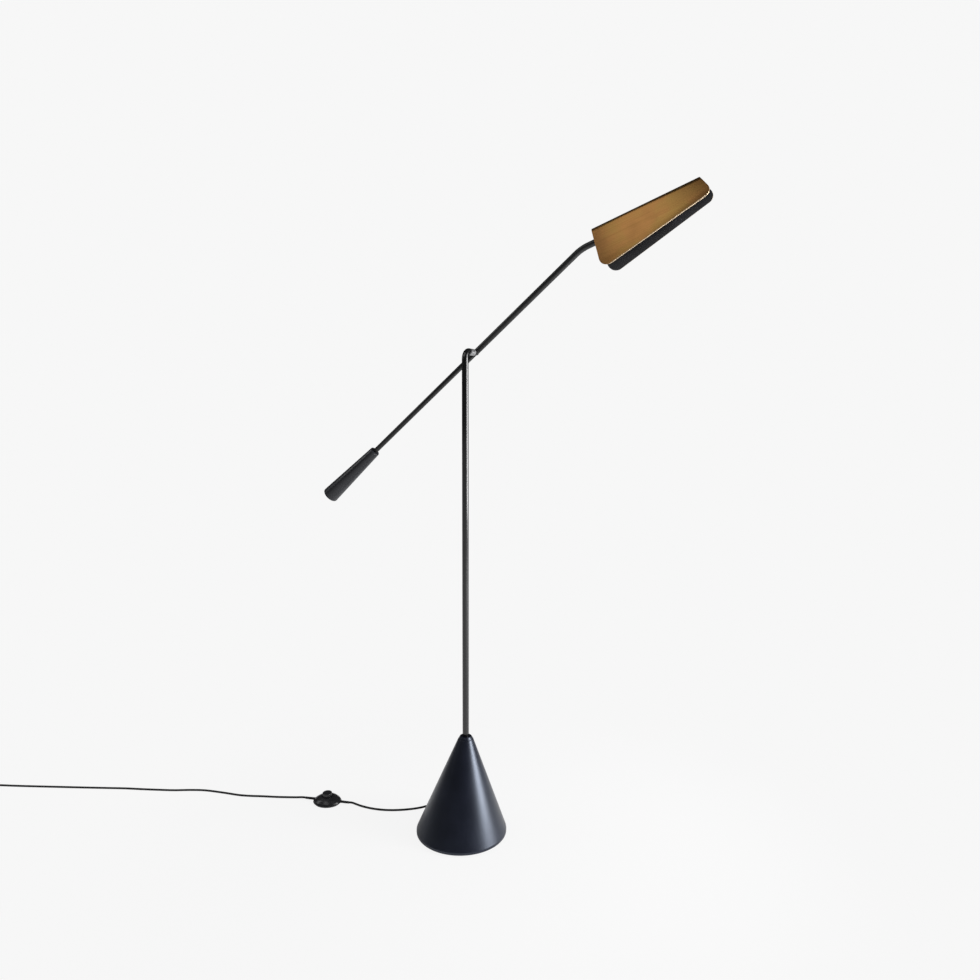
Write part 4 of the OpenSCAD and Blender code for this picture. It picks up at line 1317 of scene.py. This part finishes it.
@dataclass
class FootSwitch:
    """Foot switch on the cord: a low lens-shaped housing, its button and a ribbed sleeve on each side."""

    centre: Vector
    yaw: float = math.radians(15.5)
    radius: float = 0.036
    height: float = 0.0178
    rim: float = 0.0042
    band: float = 0.0042
    inset: float = 0.0030
    top_radius: float = 0.0165
    pad: float = 0.0015
    plate: float = 0.003
    wall: float = 0.002
    narrow: float = 0.84
    round_radius: float = 0.014
    button_radius: float = 0.012
    button_rise: float = 0.0092
    gap: float = 0.0003
    button_low: float = 0.0157
    sleeve: float = 0.022
    sleeve_inside: float = 0.008
    sleeve_radius: float = 0.0032
    sleeve_tip: float = 0.0029
    axis_height: float = 0.006
    soft: float = 0.0004
    edge: float = 0.0003
    rim_back: float = 0.0006
    rim_drop: float = 0.0012
    rim_wall: float = 0.0034
    band_share: float = 0.58
    band_round: float = 0.0010
    crown_share: float = 0.72
    crown_drop: float = 0.0041
    crown_round: float = 0.012
    top_round: float = 0.002
    lip: float = 0.0012
    lip_foot: float = 0.0009
    lip_depth: float = 0.0006
    lip_edge: float = 0.0002
    roof_inset: float = 0.001
    sole_inset: float = 0.0006
    button_edge: float = 0.0009
    button_round: float = 0.0018
    dish_outer: float = 0.62
    dish_inner: float = 0.45
    dish_step: float = 0.0006
    dish_round: float = 0.0030
    sleeve_ribs: int = 7
    sleeve_groove: float = 0.0005
    sides: int = 120
    button_sides: int = 96
    sleeve_sides: int = 40

    @property
    def heading(self) -> Vector:
        """Give the direction of the cord through the switch, towards the base."""
        return Vector((math.cos(self.yaw), math.sin(self.yaw), 0.0))

    def sleeve_end(self, side: int) -> Vector:
        """Give the place where the cord leaves the sleeve on one side, 1 towards the base."""
        reach = self.radius + self.sleeve
        return self.centre + self.heading * (side * reach) + UP * self.axis_height

    def lens(self, name: str, corners: Sequence[Corner]) -> bpy.types.Object:
        """Turn a piece of the switch and narrow it across the cord, but not near the round button.

        Args:
            name: Name of the piece.
            corners: Outline as radius, height and corner radius.

        Returns:
            The piece.
        """
        piece = turned(name, corners, Matrix.Translation(self.centre), self.sides)
        side = UP.cross(self.heading)
        for vertex in piece.data.vertices:
            flat = vertex.co - self.centre
            flat.z = 0.0
            share = (flat.length - self.round_radius) / (self.radius - self.round_radius)
            share = min(1.0, max(0.0, share))
            eased = share * share * (3 - 2 * share)
            vertex.co -= side * (flat.dot(side) * (1.0 - self.narrow) * eased)
        piece.data.update()
        return piece

    def housing(self) -> bpy.types.Object:
        """Shape the housing: sharp low rim, sloping top and a lip round the button."""
        sole = self.radius - self.inset
        hole = self.button_radius + self.gap
        roof = self.height - self.wall
        corners = closed(
            (sole - self.wall, self.pad, 0.0),
            (sole, self.pad, self.soft),
            (self.radius - self.rim_back, self.rim - self.rim_drop, self.soft),
            (self.radius, self.rim, self.edge),
            (self.radius - self.band * self.band_share, self.rim + self.band, self.band_round),
            (self.radius * self.crown_share, self.height - self.crown_drop, self.crown_round),
            (self.top_radius, self.height, self.top_round),
            (hole + self.lip, self.height, self.lip_edge),
            (hole + self.lip_foot, self.height - self.lip_depth, 0.0),
            (hole, self.height - self.lip_depth, self.edge),
            (hole, roof, 0.0),
            (self.top_radius - self.roof_inset, roof, 0.0),
            (self.radius - self.rim_wall, self.rim, 0.0),
        )
        return self.lens("switch_shell", corners)

    def disc(self, name: str, radius: float, low: float, high: float) -> bpy.types.Object:
        """Shape one flat layer of the switch's underside.

        Args:
            name: Name of the piece.
            radius: Its reach along the cord.
            low: Height of its lower face.
            high: Height of its upper face.

        Returns:
            The layer.
        """
        return self.lens(name, rod_outline(radius, low, high, self.edge, self.edge))

    def button(self) -> bpy.types.Object:
        """Turn the button, with a shallow dish in its top."""
        top = self.height + self.button_rise
        corners = [
            (0.0, self.button_low, 0.0),
            (self.button_radius, self.button_low, self.edge),
            (self.button_radius, top - self.button_edge, self.button_round),
            (self.button_radius * self.dish_outer, top, self.dish_round),
            (self.button_radius * self.dish_inner, top - self.dish_step, self.dish_round),
            (0.0, top - self.button_edge, 0.0),
        ]
        return turned("foot_button_cap", corners, Matrix.Translation(self.centre), self.button_sides)

    def sleeve_piece(self, name: str, side: int) -> bpy.types.Object:
        """Turn the ribbed sleeve on one side.

        Args:
            name: Name of the piece.
            side: 1 towards the base and -1 towards the plug.

        Returns:
            The sleeve.
        """
        way = self.heading * side
        start = self.centre + UP * self.axis_height + way * self.radius
        outline = ribbed(
            self.sleeve,
            self.sleeve_radius,
            self.sleeve_tip,
            CORD / 2,
            self.sleeve_ribs,
            self.sleeve_groove,
            self.sleeve_inside,
        )
        return turned(name, outline, frame_along(start, way), self.sleeve_sides)

    def build(self) -> list[bpy.types.Object]:
        """Make the switch's pieces.

        Returns:
            The pieces that go with the cord, with the sleeve towards the plug as the last.
        """
        reach = self.radius - self.inset
        shell = hand_over(self.housing(), Body.STAND, [PLASTIC], "switch_housing")
        sole = self.disc("switch_sole", reach - self.sole_inset, 0.0, self.pad)
        hand_over(sole, Body.STAND, [RUBBER], "switch_pad")
        plate = self.disc("switch_floor", reach - self.wall, self.pad, self.pad + self.plate)
        hand_over(plate, Body.STAND, [PLASTIC], "switch_plate")
        button = hand_over(self.button(), Body.BUTTON, [PLASTIC], "switch_button")
        sleeves = [
            hand_over(self.sleeve_piece(name, side), Body.STAND, [SLEEVE], "switch_boots")
            for name, side in (("switch_sleeve_base", 1), ("switch_sleeve_plug", -1))
        ]
        return [shell, sole, plate, button, *sleeves]


@dataclass
class Coil:
    """Put-away stretch of the cord: in on a lower layer, a climb of half a turn, and out on an upper one."""

    centre: Vector = field(default_factory=lambda: Vector((-1.213, -0.436, 0.0)))
    entry: float = math.radians(115.0)
    outer: float = 0.035
    pitch: float = 0.0065
    turns: float = 2.25
    climb: float = 0.5
    layer: float = 0.0057
    strap: float = 0.0008
    strap_gap: float = 0.0003
    strap_width: float = 0.008
    strap_azimuth: float = math.radians(25.0)
    strap_edge: float = 0.00025
    strap_steps: int = 8
    rings: int = 48

    @property
    def low(self) -> float:
        """Give the height of the lower layer's centre line."""
        return CORD / 2 + self.strap + self.strap_gap

    @property
    def heading(self) -> Vector:
        """Give the direction in which the cord comes in and goes out."""
        return Vector((math.cos(self.entry + math.pi / 2), math.sin(self.entry + math.pi / 2), 0.0))

    @property
    def edge(self) -> Vector:
        """Give the place where the cord meets the coil."""
        out = Vector((math.cos(self.entry), math.sin(self.entry), 0.0))
        return self.centre + out * self.outer + UP * self.low

    @property
    def start(self) -> Vector:
        """Give the coil's first point."""
        return self.edge - self.heading * CORD

    @property
    def stop(self) -> Vector:
        """Give the coil's last point."""
        return self.edge + self.heading * CORD + UP * self.layer

    def points(self) -> list[Vector]:
        """Give the coil's centre line, without its two ends."""
        made = []
        count = round((2 * self.turns + self.climb) * self.rings)
        for step in range(count + 1):
            turns = step / self.rings
            rise = min(max((turns - self.turns) / self.climb, 0.0), 1.0)
            inward = min(turns, self.turns) - max(turns - self.turns - self.climb, 0.0)
            radius = self.outer - self.pitch * inward
            azimuth = self.entry + 2 * math.pi * turns
            out = Vector((math.cos(azimuth), math.sin(azimuth), 0.0))
            made.append(self.centre + out * radius + UP * (self.low + self.layer * rise))
        return made

    def tie(self) -> bpy.types.Object:
        """Bend a soft strap round the coil's turns, as one closed loop."""
        inner = self.outer - self.pitch * self.turns - CORD / 2 - self.strap_gap - self.strap
        outer = self.outer + CORD / 2 + self.strap_gap + self.strap
        top = self.layer + CORD + 2 * self.strap_gap + 2 * self.strap
        soft = CORD / 2 + self.strap
        middle = (inner + outer) / 2
        corners = closed(
            (middle, 0.0, 0.0),
            (outer, 0.0, soft),
            (outer, top, soft),
            (inner, top, soft),
            (inner, 0.0, soft),
        )
        bench = Bench("coil_strap").line(rounded(corners, self.strap_steps)).whole()
        bench.run(FORWARD * self.strap_width).close().thicken(self.strap).soften(self.strap_edge)
        turn = Matrix.Translation(self.centre) @ Matrix.Rotation(self.strap_azimuth, 4, "Z")
        return bench.place(turn @ Matrix.Translation(FORWARD * (-self.strap_width / 2))).finished()


@dataclass
class Plug:
    """Flat two-pin plug on the cord's far end."""

    tip: Vector
    heading: Vector
    boot: float = 0.024
    boot_radius: float = 0.0045
    boot_tip: float = 0.0032
    length: float = 0.036
    width: float = 0.035
    grip_width: float = 0.017
    shoulder: float = 0.022
    thickness: float = 0.014
    edge_round: float = 0.003
    shoulder_round: float = 0.006
    corner_steps: int = 8
    soft: float = 0.0022
    soft_segments: int = 4
    soft_angle: float = 60.0
    grooves: int = 4
    groove_start: float = 0.006
    groove_pitch: float = 0.0034
    groove_radius: float = 0.0011
    groove_round: float = 0.0008
    groove_lift: float = 0.0004
    groove_share: float = 0.72
    groove_growth: float = 0.10
    groove_sides: int = 20
    ribs: int = 7
    rib_groove: float = 0.0006
    pin_radius: float = 0.002
    pin_length: float = 0.019
    pin_gap: float = 0.0186
    pin_root: float = 0.008
    pin_tip_share: float = 0.96
    pin_sleeve: float = 0.010
    sleeve_root: float = 0.0005
    sleeve_sunk: float = 0.0003
    sleeve_proud: float = 0.00004
    sides: int = 40

    @property
    def frame(self) -> Matrix:
        """Give the plug's frame: X out along the pins, Z up."""
        side = UP.cross(self.heading)
        return Matrix.Translation(self.tip) @ Matrix((self.heading, side, UP)).transposed().to_4x4()

    def body(self) -> bpy.types.Object:
        """Fill the plug's outline, raise it, soften its edges and press grip grooves into both faces."""
        half = self.thickness / 2
        wide = self.width / 2
        grip = self.grip_width / 2
        shoulder = self.boot + self.shoulder
        face = self.boot + self.length
        corners = closed(
            (self.boot, 0.0, 0.0),
            (self.boot, grip, self.edge_round),
            (shoulder, wide, self.shoulder_round),
            (face, wide, self.edge_round),
            (face, -wide, self.edge_round),
            (shoulder, -wide, self.shoulder_round),
            (self.boot, -grip, self.edge_round),
        )
        points = [Vector((point.x, point.z, -half)) for point in rounded(corners, self.corner_steps)]
        bench = Bench("plug_shell").line(points).fill()
        bench.run(UP * self.thickness).close().soften(self.soft, self.soft_segments, self.soft_angle)
        for index in range(self.grooves):
            along = self.boot + self.groove_start + self.groove_pitch * index
            reach = grip * (self.groove_share + self.groove_growth * index)
            for side in (-1, 1):
                place = Vector((along, 0.0, side * (half + self.groove_lift)))
                groove = turned(
                    "grip_groove",
                    rod_outline(self.groove_radius, -reach, reach, self.groove_round, self.groove_round),
                    frame_along(place, FORWARD),
                    self.groove_sides,
                )
                bench.combine(groove, "DIFFERENCE")
        return bench.place(self.frame).finished()

    def boot_piece(self) -> bpy.types.Object:
        """Turn the ribbed sleeve between the cord and the plug."""
        outline = ribbed(self.boot, self.boot_radius, self.boot_tip, CORD / 2, self.ribs, self.rib_groove)
        back = self.tip + self.heading * self.boot
        return turned("plug_sleeve", outline, frame_along(back, -self.heading), self.sides)

    def pins(self) -> bpy.types.Object:
        """Turn one pin with its rounded tip and copy it across."""
        tip_round = self.pin_radius * self.pin_tip_share
        corners = rod_outline(self.pin_radius, -self.pin_root, self.pin_length, 0.0, tip_round)
        return self._pair("plug_pin_pair", corners)

    def pin_sleeves(self) -> bpy.types.Object:
        """Turn the thin sleeve on the root half of each pin."""
        inner = self.pin_radius - self.sleeve_sunk
        outer = self.pin_radius + self.sleeve_proud
        return self._pair("plug_pin_sleeves", tube_outline(inner, outer, -self.sleeve_root, self.pin_sleeve))

    def _pair(self, name: str, corners: Sequence[Corner]) -> bpy.types.Object:
        """Turn a piece of one pin and join it with its copy for the other pin.

        Args:
            name: Name of the pair.
            corners: Outline for the lathe, from the plug's face.

        Returns:
            The pair as one piece.
        """
        made = []
        for side in (-1, 1):
            place = self.frame @ Vector((self.boot + self.length, side * self.pin_gap / 2, 0.0))
            made.append(turned(f"{name}_{side}", corners, frame_along(place, self.heading), self.sides))
        bpy.ops.object.select_all(action="DESELECT")
        for piece in made:
            piece.select_set(True)
        bpy.context.view_layer.objects.active = made[0]
        bpy.ops.object.join()
        made[0].name = name
        bpy.ops.object.select_all(action="DESELECT")
        return made[0]

    def build(self) -> list[bpy.types.Object]:
        """Make the plug's pieces.

        Returns:
            The pieces that go with the cord.
        """
        return [
            hand_over(self.boot_piece(), Body.STAND, [SLEEVE], "plug_boot"),
            hand_over(self.body(), Body.STAND, [PLASTIC], "plug_body"),
            hand_over(self.pins(), Body.STAND, [STEEL], "plug_pins"),
            hand_over(self.pin_sleeves(), Body.STAND, [PLASTIC], "plug_pins"),
        ]


def smooth_route(points: Sequence[Vector], steps: int = 10) -> list[Vector]:
    """Draw one smooth Catmull-Rom curve through a route's points.

    Args:
        points: Places that the cord passes through.
        steps: Straight pieces between two places.

    Returns:
        Points of the curve.
    """
    made: list[Vector] = []
    last = len(points) - 1
    for index in range(last):
        before = points[max(index - 1, 0)]
        start = points[index]
        end = points[index + 1]
        after = points[min(index + 2, last)]
        for step in range(steps):
            t = step / steps
            made.append(
                0.5
                * (
                    2 * start
                    + (end - before) * t
                    + (2 * before - 5 * start + 4 * end - after) * t**2
                    + (3 * start - before - 3 * end + after) * t**3
                )
            )
    made.append(points[last])
    return made


@dataclass
class SupplyCord:
    """Mains cord: from the gland to the switch, along the floor, through the coil and to the plug."""

    base: Base
    switch: FootSwitch
    coil: Coil
    diameter: float = CORD
    rounding: int = 4
    straight: float = 0.010
    plug_reach: float = 0.066
    plug_height: float = 0.007
    to_switch: Sequence[Place] = (
        (-0.060, 0.158, 0.016),
        (-0.076, 0.166, 0.011),
        (-0.094, 0.158, 0.007),
        (-0.106, 0.139, 0.004),
        (-0.113, 0.112, 0.0027),
        (-0.119, 0.084, 0.0027),
        (-0.126, 0.058, 0.0027),
        (-0.137, 0.035, 0.0027),
        (-0.157, 0.013, 0.0027),
        (-0.187, -0.009, 0.0027),
        (-0.217, -0.024, 0.0027),
        (-0.248, -0.033, 0.003),
        (-0.278, -0.037, 0.004),
    )
    along_floor: Sequence[Place] = (
        (-0.458, -0.081, 0.0036),
        (-0.496, -0.097, 0.0027),
        (-0.535, -0.113, 0.0027),
        (-0.565, -0.126, 0.0027),
        (-0.594, -0.136, 0.0027),
        (-0.641, -0.146, 0.0027),
        (-0.688, -0.158, 0.0027),
        (-0.724, -0.174, 0.0027),
        (-0.762, -0.195, 0.0027),
        (-0.800, -0.212, 0.0027),
        (-0.840, -0.229, 0.0027),
        (-0.882, -0.246, 0.0027),
        (-0.932, -0.269, 0.0027),
        (-0.986, -0.294, 0.0027),
        (-1.043, -0.320, 0.0027),
        (-1.100, -0.346, 0.0027),
        (-1.150, -0.369, 0.003),
        (-1.190, -0.387, 0.0035),
    )

    @property
    def plug_tip(self) -> Vector:
        """Give the place where the cord enters the plug's sleeve."""
        edge = self.coil.edge
        return Vector((edge.x, edge.y, self.plug_height)) + self.coil.heading * self.plug_reach

    def base_route(self) -> list[Vector]:
        """Give the centre line from the gland to the switch."""
        start = self.base.gland_tip
        end = self.switch.sleeve_end(1)
        route = [start, start + self.base.gland_direction * self.straight]
        route += [Vector(place) for place in self.to_switch]
        route += [end + self.switch.heading * self.straight, end]
        return smooth_route(route)

    def floor_route(self) -> list[Vector]:
        """Give the centre line from the switch through the coil to the plug."""
        start = self.switch.sleeve_end(-1)
        heading = self.coil.heading
        route = [start, start - self.switch.heading * self.straight]
        route += [Vector(place) for place in self.along_floor]
        route += [self.coil.start - heading * self.straight, self.coil.start]
        ending = [
            self.coil.stop,
            self.coil.stop + heading * self.straight,
            self.plug_tip - heading * self.straight,
            self.plug_tip,
        ]
        return smooth_route(route) + self.coil.points() + smooth_route(ending)

    def curve(self, name: str, points: Sequence[Vector]) -> bpy.types.Object:
        """Make one round cord.

        Args:
            name: Name of the cord.
            points: Its centre line.

        Returns:
            A curve of one open spline.
        """
        data = bpy.data.curves.new(name, "CURVE")
        data.dimensions = "3D"
        data.bevel_depth = self.diameter / 2
        data.bevel_resolution = self.rounding
        data.use_fill_caps = True
        spline = data.splines.new("POLY")
        spline.points.add(len(points) - 1)
        for point, place in zip(spline.points, points):
            point.co = (*place, 1.0)
        spline.use_smooth = True
        piece = bpy.data.objects.new(name, data)
        bpy.context.scene.collection.objects.link(piece)
        return piece

    @staticmethod
    def length(points: Sequence[Vector]) -> float:
        """Give the length of a centre line."""
        return sum((end - start).length for start, end in zip(points, points[1:]))

    def build(self, nodes: Mapping[str, bpy.types.Object]) -> None:
        """Make the two stretches of cord, with the switch, the tie and the plug.

        Args:
            nodes: CAD nodes by name, for those of the switch.
        """
        short = self.base_route()
        long = self.floor_route()
        lead = self.curve("cord_to_switch", short)
        tail = self.curve("cord_to_plug", long)
        hand_over(lead, Body.STAND, [JACKET], "cord_base_run")
        hand_over(tail, Body.STAND, [JACKET], "cord_floor_run", "cord_coil", "cord_plug_run")
        *switch_pieces, far_sleeve = self.switch.build()
        switch_nodes = ("switch_pad", "switch_plate", "switch_module", "switch_screws")
        switch_pieces += [nodes[name] for name in switch_nodes]
        strap = hand_over(self.coil.tie(), Body.STAND, [RUBBER], "cord_tie")
        plug_pieces = Plug(self.plug_tip, self.coil.heading).build()
        tuple(self.base.gland_tip)
        self.length(short)
        tuple(self.switch.sleeve_end(-1))
        self.length(long)


@dataclass(frozen=True)
class Lamp:
    """One soft rectangular lamp: its place, the place that it faces, its width and height, and its power."""

    name: str
    at: Place
    aim: Place
    size: Span
    watts: float

    def hang(self) -> None:
        """Hang the lamp in the scene."""
        data = bpy.data.lights.new(self.name, "AREA")
        data.shape = "RECTANGLE"
        data.size, data.size_y = self.size
        data.energy = self.watts
        made = bpy.data.objects.new(self.name, data)
        made.location = self.at
        made.rotation_euler = (Vector(self.at) - Vector(self.aim)).to_track_quat("Z", "Y").to_euler()
        bpy.context.scene.collection.objects.link(made)
        log.info("lamp %s of %.1f W", self.name, self.watts)


@dataclass
class Studio:
    """Camera at the photograph's angle, pale floor, soft lamps and a plain surround."""

    focal_pixels: float = 720.0
    frame_pixels: float = 980.0
    sensor: float = 36.0
    eye: Vector = field(default_factory=lambda: Vector((0.7905, -1.4266, 0.951)))
    turn: tuple[float, float, float] = (math.radians(84.917), math.radians(-0.083), math.radians(27.031))
    paper: float = 0.930
    ambient: float = 0.50
    room: float = 0.045
    floor_radius: float = 14.0
    floor_sides: int = 96
    floor_tone: float = 0.80
    shadow_near: float = 0.35
    shadow_far: float = 0.95
    shadow_share: float = 0.06
    lamps: Sequence[Lamp] = (
        Lamp("right_box", (1.95, 0.42, 1.15), (0.0, 0.0, 0.85), (1.2, 2.2), 50.0),
        Lamp("right_strip", (1.80, 0.39, 0.86), (0.0, 0.0, 0.86), (0.6, 1.12), 37.0),
        Lamp("top_front", (-0.386, -1.27, 2.66), (0.38, 0.02, 1.34), (1.7, 1.4), 9.0),
        Lamp("left_fill", (-2.2, -0.9, 2.0), (0.0, 0.0, 0.9), (0.8, 1.2), 7.0),
    )

    def camera(self) -> None:
        """Put the camera where the photograph was taken."""
        data = bpy.data.cameras.new("photo_camera")
        data.sensor_width = self.sensor
        data.lens = self.sensor * self.focal_pixels / self.frame_pixels
        made = bpy.data.objects.new("photo_camera", data)
        made.location = self.eye
        made.rotation_euler = self.turn
        bpy.context.scene.collection.objects.link(made)
        bpy.context.scene.camera = made

    def surround(self) -> None:
        """Light the room evenly, with white paper behind the lamp and a dark room in its reflections."""
        world = bpy.data.worlds.new("plain_room")
        shader = Shader(world)
        path = shader.node("ShaderNodeLightPath").outputs
        seen = Signal(shader, path["Is Camera Ray"])
        through = Signal(shader, path["Is Transmission Ray"])
        mirrored = Signal(shader, path["Is Glossy Ray"])
        paper = (seen + through).ramp(0.0, 1.0)
        level = self.ambient + paper * (self.paper - self.ambient) + mirrored * (self.room - self.ambient)
        back = shader.node("ShaderNodeBackground", None, {"Color": WHITE, "Strength": level})
        shader.node("ShaderNodeOutputWorld", None, {"Surface": back.outputs["Background"]})
        bpy.context.scene.world = world

    def floor(self) -> None:
        """Lay a wide pale floor that keeps the lamp's shadow and runs out into white."""
        bench = Bench("pale_floor").ring(self.floor_radius, Matrix.Identity(4), self.floor_sides)
        piece = bench.fill().close().finished()
        paint = bpy.data.materials.new("floor_paper")
        shader = Shader(paint)
        path = shader.node("ShaderNodeLightPath").outputs
        across = shader.along(0)
        along = shader.along(1)
        reach = shader.math("SQRT", across * across + along * along)
        paper = 1.0 - self.shadow_share * (1.0 - reach.ramp(self.shadow_near, self.shadow_far))
        tone = (self.floor_tone, self.floor_tone, self.floor_tone, 1.0)
        matt = shader.node("ShaderNodeBsdfDiffuse", None, {"Color": tone})
        glow = shader.node("ShaderNodeEmission", None, {"Color": WHITE, "Strength": self.paper})
        seen = Signal(shader, path["Is Camera Ray"]) * paper
        both = shader.node(
            "ShaderNodeMixShader", None, {0: seen, 1: matt.outputs["BSDF"], 2: glow.outputs["Emission"]}
        )
        shader.node("ShaderNodeOutputMaterial", None, {"Surface": both.outputs["Shader"]})
        piece.data.materials.append(paint)

    def build(self) -> None:
        """Set up the whole studio."""
        bpy.context.scene.view_settings.view_transform = "Standard"
        self.camera()
        self.surround()
        self.floor()
        for lamp in self.lamps:
            lamp.hang()


def main() -> None:
    """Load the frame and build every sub-assembly."""
    logging.basicConfig(level=logging.INFO, format="%(name)s: %(message)s")
    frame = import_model()
    joints = {joint["name"]: joint for joint in frame["joints"]}
    pivot = Vector(joints["arm_tilt"]["pos_m"])
    head = Vector(joints["shade_swivel"]["pos_m"])
    head_axis = Vector(joints["shade_swivel"]["axis"]).normalized()
    low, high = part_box("switch_housing")
    switch_centre = Vector(((low.x + high.x) / 2, (low.y + high.y) / 2, 0.0))

    Studio().build()
    base = Base()
    SupplyCord(base, FootSwitch(switch_centre), Coil()).build(frame["nodes"])
    base.build()
    Pole(pivot, base.height).build()
    Arm(pivot, head, head_axis).build()
    Shade(head, head_axis).build()
    for name, finish in NODE_FINISHES.items():
        node = frame["nodes"][name]
        node.data.materials.clear()
        node.data.materials.append(finish.material())
        log.info("%s keeps its solid, in %s", name, finish.name)


if __name__ == "__main__":
    main()
